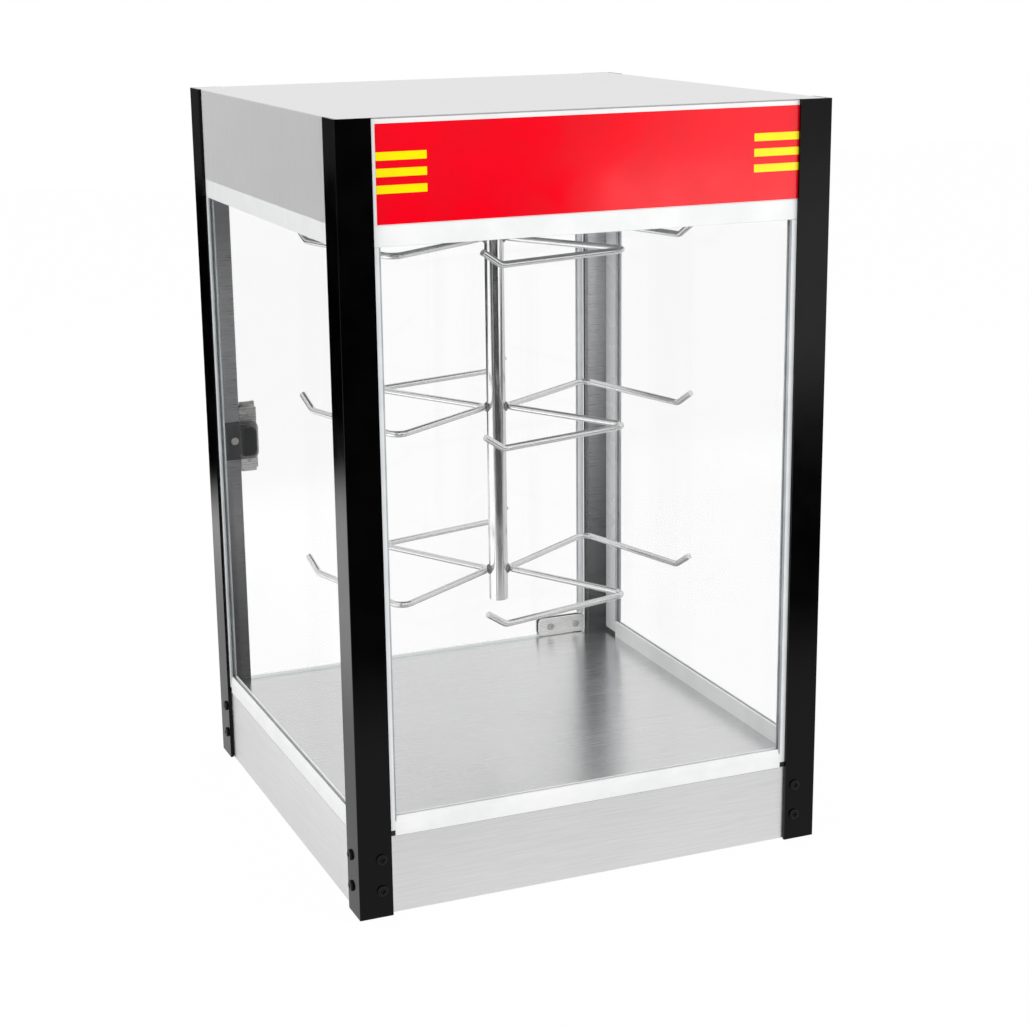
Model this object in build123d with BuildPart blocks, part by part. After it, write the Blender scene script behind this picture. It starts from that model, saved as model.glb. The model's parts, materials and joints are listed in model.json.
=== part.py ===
"""Heated counter display cabinet with a motor-turned hanging rack.

Frame: origin on the counter at the centre of the footprint and under the rack's axis,
+Z up, front glass and sign towards -Y, the operator's door towards +Y. Millimetres.
"""

from math import atan2, cos, pi, radians, sin
import os

from build123d import *

os.makedirs("parts", exist_ok=True)

# Overall size of the case
case_width = 470.0
case_depth = 470.0
case_height = 715.0

# Corner posts: angle section, which also stands on the counter
post_leg = 32.0
post_wall = 3.2
post_corner_radius = 0.8
tap_end_wall = 0.8

# Base: folded skirts, deck and bottom pan
sheet = 1.0
skirt_lift = 1.5
skirt_flange = 12.0
deck_height = 76.0
sheet_gap = 0.2
sill_reach = 7.0
sill_lip = 9.0
sill_fold_share = 0.8
pan_slot_length = 36.0
pan_slot_width = 5.0
pan_slot_pitch = (50.0, 16.0)
pan_slot_count = (6, 9)

# Glazing: rails, uprights and panes
glass = 3.0
glass_gap = 0.15
glass_chamfer = 0.3
glass_head_room = 1.5
glass_edge_room = 1.0
rail_depth = 6.4
bottom_rail_height = 18.4
bottom_rail_step = 12.0
rail_lean_depth = 0.9
rail_chamfer = 0.5
top_rail_height = 18.0
rail_lip = 14.0
upright_reach = 5.0
upright_width = 24.6
upright_slot = 10.0
upright_wall = 1.4
setting_block_height = 5.0
glass_lift = 0.2

# Header
header_height = 89.5
header_flange = 14.0
header_flange_end_gap = 3.0
header_fold_share = 0.9
sign_thickness = 3.0
ceiling_screw_edge = 3.5
ceiling_screw_end = 64.8

# Screws through the posts
post_screw_radius = 2.4
post_head_radius = 5.2
post_head_height = 2.3
post_screw_inset = 22.0
post_screw_heights = (26.0, 56.5)
header_screw_offsets = (20.0, 70.0)
nut_across = 8.0
nut_height = 3.2
nut_thread_length = 1.5
screw_gap = 0.1

# Heads of all the screws, as shares of their height and radius
head_round_share = 0.6
recess_foot_share = 0.45
recess_slot_share = 0.14

# Small pan-head screws
small_screw_radius = 2.0
small_head_radius = 4.1
small_head_height = 1.9
screw_end_gap = 1.2
long_screw_length = 7.0

# Wire covers on the rear posts
cover_depth = 9.0
cable_radius = 2.3
cable_bend = 22.0
cable_inset = 12.5
cable_hole_gap = 1.0
cable_end_gap = 0.1

# Terminal blocks at the two ends of that cable
block_span = (120.0, 170.0)
block_width = 18.0
block_height = 15.0
block_back_wall = 4.0
header_block_lift = 37.0
pole_count = 4
pole_pitch = 12.0
pole_edge = 7.0
pole_inset = 6.0
pole_radius = 2.5
pole_depth = 6.0

# Rack
shaft_radius = 9.525
shaft_bore = 7.875
shaft_chamfer = 0.4
shaft_tail_length = 31.4
shaft_head_length = 27.5
wire_radius = 3.1
weld_gap = 0.05
tier_depth = 49.5
tier_pitch = 168.0
corner_distance = 155.6
corner_angle = -58.7
elbow_distance = 181.7
elbow_angle = -110.1
tip_distance = 193.0
tip_angle = -115.1
tip_height = 13.0
corner_bend = 10.0
elbow_bend = 12.0
hub_bend = 9.5

# Drive
drive_radius = 4.0
drive_gap = 0.06
drive_end_gap = 2.0
drive_grip_length = 18.0
drive_bore_room = 4.0
plug_length = 20.0
pin_radius = 1.5
pin_end_length = 2.0
bushing_radius = 12.0
bushing_flange = 18.0
bushing_flange_height = 3.0
bushing_neck_length = 6.0
bushing_chamfer = 0.8
bracket_height = 42.5
bracket_half_width = 35.0
bracket_wall = 2.0
bracket_front = 30.0
bracket_back = 95.0
bracket_foot_width = 15.0
bracket_hole_radius = 10.0
bracket_screw_side = 8.0
bracket_screw_end = 12.0
motor_screw_x = 24.0
motor_screw_y = 20.0
motor_tap_depth = 8.0
gearbox_half_width = 32.0
gearbox_half_depth = 28.0
gearbox_height = 28.0
gearbox_corner = 6.0
gearbox_boss_radius = 9.5
gearbox_boss_length = 6.0
can_radius = 20.0
can_length = 55.0
saddle_half_width = 14.0
saddle_length = 50.0
saddle_height = 4.0

# Lamp
lamp_radius = 8.0
lamp_length = 300.0
lamp_y = -120.0
lamp_lift = 22.5
lamp_end_radius = 2.0
holder_radius = 12.0
holder_length = 12.0
window_end_inset = 12.0
window_half_depth = 18.0
lens_thickness = 3.0
lens_margin = 7.0
lens_corner = 4.0

# Heater under the deck
element_radius = 4.0
element_pitch = 70.0
element_leg = 120.0
element_tail = 150.0
element_bend_gap = 0.5
strap_width = 14.0
strap_wall = 1.5
strap_pitch = 80.0
strap_side_length = 20.0
strap_foot_length = 11.0

# Door
pane = 4.8
pane_edge_gap = 2.0
pane_stand_off = 1.6
pane_corner = 2.0
pivot_inset = 9.0
pivot_pin_radius = 2.5
pivot_pin_length = 4.5
pivot_gap = 0.05
hinge_length = 57.0
hinge_height = 20.0
hinge_wall = 2.3
hinge_rise = 1.0
hinge_corner = 5.0
hinge_web = 1.5
hinge_pivot_edge = 6.5
hinge_screw_offsets = (15.0, 46.7)
hinge_hole_gap = 1.5
bush_radius = 4.0
bush_length = 3.5
bush_flange_radius = 5.5
bush_flange = 0.8
trim_wall = 1.0
trim_width = 6.0
trim_edge_gap = 0.1
trim_end_gap = 1.0
pull_height = 76.0
pull_width = 18.0
pull_depth = 7.0
pull_wall = 1.6
pull_inset = 3.0
pull_corner = 3.0
pull_edge_radius = 0.6
pull_screw_offset = 25.0
pull_hole_gap = 1.0
strike_height = 66.0
strike_wall = 1.2

# Door catch on the left rear post
catch_size = 41.0
catch_wall = 1.5
catch_height = 347.0
catch_overhang = 19.6
catch_corner = 8.0
catch_rear_corner = 2.0
catch_seat_gap = 0.1
catch_screw_inset = 6.4
magnet_width = 14.5
magnet_height = 31.0
magnet_inset = 1.4
magnet_offset = 2.5
magnet_corner = 6.5
contact_gap = 0.3

# Controls on the rear skirt
control_height = 40.0
knob_x = -60.0
knob_radius = 17.0
knob_length = 13.0
knob_flange_height = 4.0
knob_flange_width = 4.0
knob_gap = 0.5
knob_edge_radius = 1.5
knob_groove = 1.0
knob_bore_depth = 9.5
spindle_radius = 3.0
spindle_length = 8.0
spindle_hole_gap = 2.0
thermostat_half_width = 22.0
thermostat_depth = 30.0
thermostat_corner = 5.0

# Rocker switches
rocker_places = (-5.0, 30.0)
rocker_half_width = 6.0
rocker_half_height = 9.2
rocker_root_depth = 6.0
rocker_tip_height = 9.0
rocker_waist_height = 6.8
rocker_tilt = 8.0
rocker_pivot_depth = 5.8
rocker_side_wall = 2.6
rocker_end_wall = 3.0
rocker_gap = 0.3
rocker_swing_gap = 1.5
rocker_well_depth = 17.0
trunnion_radius = 1.5
trunnion_end_gap = 0.4
bezel_height = 1.5
bezel_lap = 1.5
switch_depth = 24.0
switch_gap = 0.2

# Mains inlet
inlet_x = 90.0
inlet_half_width = 13.4
inlet_half_height = 9.4
inlet_depth = 24.0
inlet_gap = 0.2
inlet_flange_height = 2.5
inlet_flange_side = 1.2
inlet_flange_end = 1.6
inlet_corner = 2.0
socket_half_width = 12.0
socket_half_height = 8.0
socket_depth = 18.0
blade_places = ((-7.0, -2.0), (0.0, 2.0), (7.0, -2.0))
blade_half_width = 1.0
blade_half_height = 2.0
blade_inset = 4.0

# Places worked out from the sizes above
half_width = case_width / 2
half_depth = case_depth / 2
face_x = half_width - post_wall
face_y = half_depth - post_wall
leaf_x = half_width - post_leg
leaf_y = half_depth - post_leg
screw_x = half_width - post_screw_inset
screw_y = half_depth - post_screw_inset
deck_under = deck_height - sheet
header_bottom = case_height - header_height
header_top = case_height - sheet
top_rail_bottom = header_bottom - top_rail_height
bottom_rail_top = deck_height + bottom_rail_height
upright_x = leaf_x - upright_reach
upright_y = leaf_y - upright_reach
upright_foot = deck_height + setting_block_height
slot_start = (rail_depth - glass - 2 * glass_gap) / 2
slot_width = glass + 2 * glass_gap
ceiling_under = header_bottom + sheet
ceiling_top = ceiling_under + sheet
header_screw_heights = [header_bottom + offset for offset in header_screw_offsets]
sill_edge = half_depth + sill_reach
pane_inner = face_y + pane_stand_off
pane_middle = pane_inner + pane / 2
pane_outer = pane_inner + pane
pivot_x = leaf_x - pivot_inset
cable_x = half_width - cable_inset
cable_y = face_y - cover_depth + sheet + cable_radius + contact_gap
cable_hole = cable_radius + cable_hole_gap
tier_heights = [header_bottom - tier_depth - tier_pitch * below for below in (2, 1, 0)]
shaft_bottom = tier_heights[0] - shaft_tail_length
shaft_top = ceiling_top + shaft_head_length
flange_end = face_y - header_flange - header_flange_end_gap
ceiling_screw_x = face_x - header_flange + ceiling_screw_edge
ceiling_screw_y = flange_end - ceiling_screw_end

# The four sides: first axis along the side, second axis up, normal outwards
front_side = Plane(origin=(0, -face_y, 0), x_dir=(1, 0, 0), z_dir=(0, -1, 0))
left_side = Plane(origin=(-face_x, 0, 0), x_dir=(0, -1, 0), z_dir=(-1, 0, 0))
right_side = Plane(origin=(face_x, 0, 0), x_dir=(0, 1, 0), z_dir=(1, 0, 0))
rear_side = Plane(origin=(0, face_y, 0), x_dir=(-1, 0, 0), z_dir=(0, 1, 0))


def across(side, start):
    """Plane across a side: first axis inwards from its face, second axis up."""
    return Plane(origin=side.origin + side.x_dir * start, x_dir=side.z_dir * -1, z_dir=side.x_dir)


def plan(side, height):
    """Level plane at a side: first axis along it, second axis inwards from its face."""
    return Plane(origin=side.origin + Vector(0, 0, height), x_dir=side.x_dir, z_dir=(0, 0, 1))


def centred(middle, half):
    """Span of an axis, given by its middle and half its length."""
    return (middle - half, middle + half)


def block(x_span, y_span, z_span, mode=Mode.ADD):
    """Add or cut a box given by its span along each axis."""
    with Locations((sum(x_span) / 2, sum(y_span) / 2, sum(z_span) / 2)):
        Box(x_span[1] - x_span[0], y_span[1] - y_span[0], z_span[1] - z_span[0], mode=mode)


def rod(origin, direction, radius, length, mode=Mode.ADD):
    """Add or cut a round bar that starts at a point and runs along a direction."""
    with Locations(Plane(origin=origin, z_dir=direction)):
        Cylinder(radius, length, align=(Align.CENTER, Align.CENTER, Align.MIN), mode=mode)


def save(builder, name):
    """Label a finished sub-part and write it under its own name."""
    builder.part.label = name
    export_step(builder.part, "parts/" + name + ".step")


def pan_screw(head_radius, head_height, shank_radius, length):
    """Pan-head screw with a cross recess: its seat is at Z 0 and its head points up."""
    with BuildPart() as screw:
        rod((0, 0, 0), (0, 0, 1), head_radius, head_height)
        fillet(screw.edges().filter_by(GeomType.CIRCLE).sort_by(Axis.Z)[-1], head_height * head_round_share)
        rod((0, 0, 0), (0, 0, -1), shank_radius, length)
        recess = (head_height * recess_foot_share, head_height)
        slot = head_radius * recess_slot_share
        block((-head_radius / 2, head_radius / 2), (-slot, slot), recess, Mode.SUBTRACT)
        block((-slot, slot), (-head_radius / 2, head_radius / 2), recess, Mode.SUBTRACT)
    return screw.part


def outward(x, y, z, direction):
    """Plane on a point whose normal is a screw's head direction."""
    return Plane(origin=(x, y, z), x_dir=(0, 0, 1), z_dir=direction)


# Corner posts
def corner_post(side_x, side_y):
    """Angle post at one corner, with its screw holes and blind taps in the header."""
    with BuildPart() as post:
        with BuildSketch() as section:
            with BuildLine():
                Polyline(
                    (side_x * half_width, side_y * half_depth),
                    (side_x * leaf_x, side_y * half_depth),
                    (side_x * leaf_x, side_y * face_y),
                    (side_x * face_x, side_y * face_y),
                    (side_x * face_x, side_y * leaf_y),
                    (side_x * half_width, side_y * leaf_y),
                    close=True,
                )
            make_face()
            outer_corner = section.vertices().sort_by_distance((side_x * half_width, side_y * half_depth))[0]
            fillet(outer_corner, post_corner_radius)
        extrude(amount=case_height)
        hole = post_screw_radius + screw_gap
        for height in post_screw_heights:
            rod((side_x * face_x, side_y * screw_y, height), (side_x, 0, 0), hole, post_wall, Mode.SUBTRACT)
            rod((side_x * screw_x, side_y * face_y, height), (0, side_y, 0), hole, post_wall, Mode.SUBTRACT)
        tap = small_screw_radius + screw_gap
        tap_depth = post_wall - tap_end_wall
        for height in header_screw_heights:
            rod((side_x * face_x, side_y * screw_y, height), (side_x, 0, 0), tap, tap_depth, Mode.SUBTRACT)
            if side_y < 0:
                rod((side_x * screw_x, -face_y, height), (0, -1, 0), tap, tap_depth, Mode.SUBTRACT)
            else:
                rod((side_x * screw_x, face_y, height), (0, 1, 0), hole, post_wall, Mode.SUBTRACT)
    return post


for side_y, end_name in ((-1, "front"), (1, "rear")):
    for side_x, hand in ((-1, "left"), (1, "right")):
        save(corner_post(side_x, side_y), "post_" + end_name + "_" + hand)

# Screws and nuts that hold the skirts and the header's rear panel to the posts
post_screw_planes = []
for side_x in (-1, 1):
    for side_y in (-1, 1):
        for height in post_screw_heights:
            post_screw_planes.append(outward(side_x * half_width, side_y * screw_y, height, (side_x, 0, 0)))
            post_screw_planes.append(outward(side_x * screw_x, side_y * half_depth, height, (0, side_y, 0)))
    for height in header_screw_heights:
        post_screw_planes.append(outward(side_x * screw_x, half_depth, height, (0, 1, 0)))

with BuildPart() as post_nut:
    with BuildSketch(Plane.XY.offset(-post_wall - sheet - nut_height)):
        RegularPolygon(nut_across / 2, 6, major_radius=False)
        Circle(post_screw_radius + screw_gap, mode=Mode.SUBTRACT)
    extrude(amount=nut_height)

post_screw_length = post_wall + sheet + nut_height + nut_thread_length
post_screw = pan_screw(post_head_radius, post_head_height, post_screw_radius, post_screw_length)
with BuildPart() as post_screws_and_nuts:
    with Locations(*post_screw_planes):
        add(post_screw)
        add(post_nut.part)
save(post_screws_and_nuts, "post_screws_and_nuts")


# Base skirts
def skirt(side, half_length, flange_half_length, screw_along):
    """Folded skirt: an upright web with a flange turned in at its top and its foot."""
    with BuildPart() as folded:
        with BuildSketch(across(side, -half_length)):
            with Locations((sheet / 2, (skirt_lift + deck_under) / 2)):
                Rectangle(sheet, deck_under - skirt_lift)
        extrude(amount=2 * half_length)
        with BuildSketch(across(side, -flange_half_length)):
            for height in (skirt_lift + sheet / 2, deck_under - sheet / 2):
                with Locations((skirt_flange / 2, height)):
                    Rectangle(skirt_flange, sheet)
        extrude(amount=2 * flange_half_length)
        with BuildSketch(side):
            for height in post_screw_heights:
                with Locations((-screw_along, height), (screw_along, height)):
                    Circle(post_screw_radius + screw_gap)
        extrude(amount=-2 * sheet, mode=Mode.SUBTRACT)
    return folded


long_skirt = face_x - sheet_gap
short_skirt = face_y - sheet - sheet_gap
short_flange = face_y - skirt_flange - contact_gap
long_flange = face_x - sheet - sheet_gap
save(skirt(front_side, long_skirt, long_flange, screw_x), "front_skirt")
save(skirt(left_side, short_skirt, short_flange, screw_y), "left_skirt")
save(skirt(right_side, short_skirt, short_flange, screw_y), "right_skirt")

rocker_cut_height = rocker_half_height + rocker_end_wall
rocker_cut_width = rocker_half_width + rocker_side_wall
with BuildPart() as rear_skirt:
    add(skirt(rear_side, long_skirt, long_flange, screw_x).part)
    with BuildSketch(rear_side):
        with Locations((-knob_x, control_height)):
            Circle(spindle_radius + spindle_hole_gap)
        for place in rocker_places:
            with Locations((-place, control_height)):
                Rectangle(2 * rocker_cut_width, 2 * rocker_cut_height)
        with Locations((-inlet_x, control_height)):
            Rectangle(2 * inlet_half_width, 2 * inlet_half_height)
    extrude(amount=-2 * sheet, mode=Mode.SUBTRACT)
    rod((cable_x, cable_y, deck_under - sheet), (0, 0, 1), cable_hole, sheet, Mode.SUBTRACT)
save(rear_skirt, "rear_skirt")

# Deck, with a sill under the door that its lower hinge turns in
sill_half = leaf_x - 2 * sheet_gap
with BuildPart() as deck:
    block((-face_x + sheet_gap, face_x - sheet_gap), (-face_y + sheet_gap, face_y - sheet_gap),
          (deck_under, deck_height))
    block((-sill_half, sill_half), (face_y - sheet_gap, sill_edge), (deck_under, deck_height))
    block((-sill_half, sill_half), (sill_edge - sheet, sill_edge), (deck_height - sill_lip, deck_height))
    fold = deck.edges().filter_by(Axis.X).sort_by(Axis.Y)[-2:].sort_by(Axis.Z)[-1]
    fillet(fold, sheet * sill_fold_share)
    rod((cable_x, cable_y, deck_under), (0, 0, 1), cable_hole, sheet, Mode.SUBTRACT)
    rod((pivot_x, pane_middle, deck_under), (0, 0, 1), bush_radius + screw_gap, sheet, Mode.SUBTRACT)
save(deck, "deck")

# Bottom pan, lying on the skirts' lower flanges, with cooling slots
pan_half_x = face_x - sheet - 2 * sheet_gap
pan_half_y = face_y - sheet - 2 * sheet_gap
pan_top = skirt_lift + 2 * sheet
with BuildPart() as base_pan:
    with BuildSketch(Plane.XY.offset(skirt_lift + sheet)):
        Rectangle(2 * pan_half_x, 2 * pan_half_y)
        with GridLocations(*pan_slot_pitch, *pan_slot_count):
            SlotOverall(pan_slot_length, pan_slot_width, mode=Mode.SUBTRACT)
    extrude(amount=sheet)
save(base_pan, "base_pan")


# Glazing rails
def bottom_rail(side, half_length):
    """White rail on the deck: a plain foot, then a face that leans in to the glass."""
    with BuildPart() as rail:
        with BuildSketch(across(side, -half_length)):
            with BuildLine():
                Polyline(
                    (0, deck_height),
                    (rail_depth, deck_height),
                    (rail_depth, bottom_rail_top),
                    (rail_lean_depth, bottom_rail_top),
                    (0, deck_height + bottom_rail_step),
                    close=True,
                )
            make_face()
            with Locations((rail_depth / 2, (upright_foot + bottom_rail_top) / 2)):
                Rectangle(slot_width, bottom_rail_top - upright_foot, mode=Mode.SUBTRACT)
        extrude(amount=2 * half_length)
    return rail


def top_rail(side, start, end):
    """White rail under the header, grooved from below for the glass."""
    with BuildPart() as rail:
        with BuildSketch(across(side, start)):
            with Locations((rail_depth / 2, header_bottom - top_rail_height / 2)):
                Rectangle(rail_depth, top_rail_height)
            with Locations((rail_depth / 2, top_rail_bottom + rail_lip / 2)):
                Rectangle(slot_width, rail_lip, mode=Mode.SUBTRACT)
        extrude(amount=end - start)
        chamfer(rail.edges().filter_by(Axis((0, 0, 0), side.x_dir)).group_by(Axis.Z)[0], rail_chamfer)
    return rail


rail_clear = sheet_gap / 2
save(bottom_rail(front_side, upright_x - rail_clear), "front_bottom_rail")
save(bottom_rail(left_side, upright_y - rail_clear), "left_bottom_rail")
save(bottom_rail(right_side, upright_y - rail_clear), "right_bottom_rail")

long_rail = face_x - rail_depth - sheet_gap
cover_clear = cover_depth + sheet_gap
front_end = face_y - rail_depth - sheet_gap
rear_end = face_y - cover_clear
save(top_rail(front_side, -long_rail, long_rail), "front_top_rail")
save(top_rail(left_side, -rear_end, front_end), "left_top_rail")
save(top_rail(right_side, -front_end, rear_end), "right_top_rail")

# Rail over the door, with the shelf that the upper hinge turns in
head_half = leaf_x - sheet_gap
with BuildPart() as door_head:
    with BuildSketch(across(rear_side, -head_half)):
        with Locations((rail_depth / 2, header_bottom - top_rail_height / 2)):
            Rectangle(rail_depth, top_rail_height)
        with Locations(((face_y - sill_edge) / 2, top_rail_bottom + strap_wall / 2)):
            Rectangle(sill_edge - face_y, strap_wall)
        with Locations((face_y - sill_edge + sheet / 2, top_rail_bottom + sill_lip / 2)):
            Rectangle(sheet, sill_lip)
    extrude(amount=2 * head_half)
    rod((pivot_x, pane_middle, top_rail_bottom), (0, 0, 1), bush_radius + screw_gap, strap_wall,
        Mode.SUBTRACT)
save(door_head, "door_head")

# Upright channels that cover the edges of the three fixed panes, and the rubber blocks under them
glazed_sides = ((front_side, upright_x), (left_side, upright_y), (right_side, upright_y))
with BuildPart() as glazing_channels:
    for side, edge in glazed_sides:
        with BuildSketch(plan(side, upright_foot + rail_clear)):
            for hand in (-1, 1):
                with Locations((hand * (edge + upright_width / 2), rail_depth / 2)):
                    Rectangle(upright_width, rail_depth)
                with Locations((hand * (edge + upright_slot / 2), rail_depth / 2)):
                    Rectangle(upright_slot, slot_width, mode=Mode.SUBTRACT)
                hollow = upright_width - upright_slot - 2 * upright_wall
                with Locations((hand * (edge + upright_slot + upright_wall + hollow / 2), rail_depth / 2)):
                    Rectangle(hollow, rail_depth - 2 * upright_wall, mode=Mode.SUBTRACT)
        extrude(amount=top_rail_bottom - upright_foot - 2 * rail_clear)
save(glazing_channels, "glazing_channels")

with BuildPart() as setting_blocks:
    for side, edge in glazed_sides:
        with BuildSketch(plan(side, deck_height)):
            for hand in (-1, 1):
                with Locations((hand * (edge + upright_width / 2), rail_depth / 2)):
                    Rectangle(upright_width, rail_depth - 2 * sheet_gap)
        extrude(amount=setting_block_height)
save(setting_blocks, "setting_blocks")


# Fixed panes
def fixed_pane(side, edge):
    """Pane that stands on its setting blocks and runs up into the rail's groove."""
    foot = upright_foot + glass_lift
    head = top_rail_bottom + rail_lip - glass_head_room
    with BuildPart() as pane_part:
        with BuildSketch(side.offset(-slot_start - glass_gap)):
            with Locations((0, (foot + head) / 2)):
                Rectangle(2 * (edge + upright_slot - glass_edge_room), head - foot)
        extrude(amount=-glass)
        chamfer(pane_part.edges().filter_by(Axis.Z), glass_chamfer)
    return pane_part


save(fixed_pane(front_side, upright_x), "front_glass")
save(fixed_pane(left_side, upright_y), "left_glass")
save(fixed_pane(right_side, upright_y), "right_glass")

# Header shell: both sides and the top in one folded sheet, with flanges that carry the ceiling
with BuildPart() as header_shell:
    with BuildSketch(Plane.XZ.offset(-face_y)):
        with Locations((0, (header_bottom + case_height) / 2)):
            Rectangle(2 * face_x, header_height)
        with Locations((0, (header_bottom + header_top) / 2)):
            Rectangle(2 * (face_x - sheet), header_top - header_bottom, mode=Mode.SUBTRACT)
    extrude(amount=2 * face_y)
    fillet(header_shell.edges().filter_by(Axis.Y).group_by(Axis.Z)[-1], sheet * header_fold_share)
    for hand in (-1, 1):
        flange_span = sorted((hand * (face_x - sheet), hand * (face_x - header_flange)))
        block(flange_span, (-flange_end, flange_end), (header_bottom, ceiling_under))
    for hand in (-1, 1):
        for end in (-1, 1):
            for height in header_screw_heights:
                rod((hand * (face_x - sheet), end * screw_y, height), (hand, 0, 0),
                    small_screw_radius + screw_gap, sheet, Mode.SUBTRACT)
            rod((hand * ceiling_screw_x, end * ceiling_screw_y, header_bottom), (0, 0, 1),
                small_screw_radius + screw_gap, sheet, Mode.SUBTRACT)
save(header_shell, "header_shell")

# Sign panel across the front and plain panel across the back of the header
panel_half = face_x - sheet - sheet_gap
panel_span = (header_bottom + sheet_gap, header_top - sheet_gap)
with BuildPart() as sign_panel:
    with BuildSketch(front_side):
        with Locations((0, sum(panel_span) / 2)):
            Rectangle(2 * panel_half, panel_span[1] - panel_span[0])
        for height in header_screw_heights:
            with Locations((-screw_x, height), (screw_x, height)):
                Circle(small_screw_radius + screw_gap, mode=Mode.SUBTRACT)
    extrude(amount=-sign_thickness)
save(sign_panel, "sign_panel")

with BuildPart() as header_rear_panel:
    with BuildSketch(rear_side):
        with Locations((0, sum(panel_span) / 2)):
            Rectangle(2 * panel_half, panel_span[1] - panel_span[0])
        for height in header_screw_heights:
            with Locations((-screw_x, height), (screw_x, height)):
                Circle(post_screw_radius + screw_gap, mode=Mode.SUBTRACT)
    extrude(amount=-sheet)
save(header_rear_panel, "header_rear_panel")

# Ceiling pan, with the rack's bushing hole and the lamp's window
window_half_width = lamp_length / 2 - window_end_inset
ceiling_front = -face_y + sign_thickness + 2 * sheet_gap
ceiling_back = face_y - sheet - 2 * sheet_gap
bracket_screw_x = bracket_half_width + bracket_screw_side
bracket_screw_ys = (-bracket_front + bracket_screw_end, bracket_back - bracket_screw_end)
with BuildPart() as ceiling_pan:
    block((-pan_half_x, pan_half_x), (ceiling_front, ceiling_back), (ceiling_under, ceiling_top))
    rod((0, 0, ceiling_under), (0, 0, 1), bushing_radius + screw_gap, sheet, Mode.SUBTRACT)
    block((-window_half_width, window_half_width), (lamp_y - window_half_depth, lamp_y + window_half_depth),
          (ceiling_under, ceiling_top), Mode.SUBTRACT)
    rod((cable_x, cable_y, ceiling_under), (0, 0, 1), cable_hole, sheet, Mode.SUBTRACT)
    for hand in (-1, 1):
        for end in (-1, 1):
            rod((hand * ceiling_screw_x, end * ceiling_screw_y, ceiling_under), (0, 0, 1),
                small_screw_radius + screw_gap, sheet, Mode.SUBTRACT)
        for end in bracket_screw_ys:
            rod((hand * bracket_screw_x, end, ceiling_under), (0, 0, 1),
                small_screw_radius + screw_gap, sheet, Mode.SUBTRACT)
save(ceiling_pan, "ceiling_pan")

# Lamp behind its lens
lens_half_width = window_half_width + lens_margin
lens_half_depth = window_half_depth + lens_margin
with BuildPart() as lamp_lens:
    block((-lens_half_width, lens_half_width), (lamp_y - lens_half_depth, lamp_y + lens_half_depth),
          (ceiling_top, ceiling_top + lens_thickness))
    fillet(lamp_lens.edges().filter_by(Axis.Z), lens_corner)
save(lamp_lens, "lamp_lens")

lamp_height = ceiling_top + lamp_lift
with BuildPart() as lamp_tube:
    rod((-lamp_length / 2, lamp_y, lamp_height), (1, 0, 0), lamp_radius, lamp_length)
    fillet(lamp_tube.edges(), lamp_end_radius)
save(lamp_tube, "lamp_tube")

with BuildPart() as lamp_holders:
    holder_foot = lamp_length / 2 + sheet_gap
    for hand in (-1, 1):
        with BuildSketch(Plane.YZ.offset(hand * holder_foot)):
            with Locations((lamp_y, (ceiling_top + lamp_height) / 2)):
                Rectangle(2 * holder_radius, lamp_height - ceiling_top)
            with Locations((lamp_y, lamp_height)):
                Circle(holder_radius)
        extrude(amount=hand * holder_length)
save(lamp_holders, "lamp_holders")

# Motor bracket, gear motor and the bushing that steadies the rack's shaft
bracket_top = ceiling_top + bracket_height
with BuildPart() as motor_bracket:
    with BuildSketch(Plane.XZ.offset(bracket_front)):
        with BuildLine():
            outer = bracket_half_width
            inner = bracket_half_width - bracket_wall
            foot = bracket_half_width + bracket_foot_width
            foot_top = ceiling_top + bracket_wall
            web_under = bracket_top - bracket_wall
            Polyline(
                (-foot, ceiling_top), (-inner, ceiling_top), (-inner, web_under),
                (inner, web_under), (inner, ceiling_top), (foot, ceiling_top),
                (foot, foot_top), (outer, foot_top), (outer, bracket_top),
                (-outer, bracket_top), (-outer, foot_top), (-foot, foot_top),
                close=True,
            )
        make_face()
    extrude(amount=-(bracket_front + bracket_back))
    rod((0, 0, bracket_top - bracket_wall), (0, 0, 1), bracket_hole_radius, bracket_wall, Mode.SUBTRACT)
    for hand in (-1, 1):
        for end in bracket_screw_ys:
            rod((hand * bracket_screw_x, end, ceiling_top), (0, 0, 1),
                small_screw_radius + screw_gap, bracket_wall, Mode.SUBTRACT)
        for end in (-motor_screw_y, motor_screw_y):
            rod((hand * motor_screw_x, end, bracket_top - bracket_wall), (0, 0, 1),
                small_screw_radius + screw_gap, bracket_wall, Mode.SUBTRACT)
save(motor_bracket, "motor_bracket")

boss_foot = bracket_top - gearbox_boss_length
drive_head = bracket_top + drive_grip_length
with BuildPart() as gear_motor:
    block((-gearbox_half_width, gearbox_half_width), (-gearbox_half_depth, gearbox_half_depth),
          (bracket_top, bracket_top + gearbox_height))
    fillet(gear_motor.edges().filter_by(Axis.Z), gearbox_corner)
    rod((0, gearbox_half_depth, bracket_top + can_radius), (0, 1, 0), can_radius, can_length)
    block((-saddle_half_width, saddle_half_width), (gearbox_half_depth, gearbox_half_depth + saddle_length),
          (bracket_top, bracket_top + saddle_height))
    rod((0, 0, boss_foot), (0, 0, 1), gearbox_boss_radius, gearbox_boss_length)
    rod((0, 0, boss_foot), (0, 0, 1), drive_radius + drive_gap, drive_head + drive_bore_room - boss_foot,
        Mode.SUBTRACT)
    for place in (-motor_screw_x, motor_screw_x):
        for end in (-motor_screw_y, motor_screw_y):
            rod((place, end, bracket_top), (0, 0, 1), small_screw_radius + screw_gap, motor_tap_depth,
                Mode.SUBTRACT)
save(gear_motor, "gear_motor")

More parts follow.
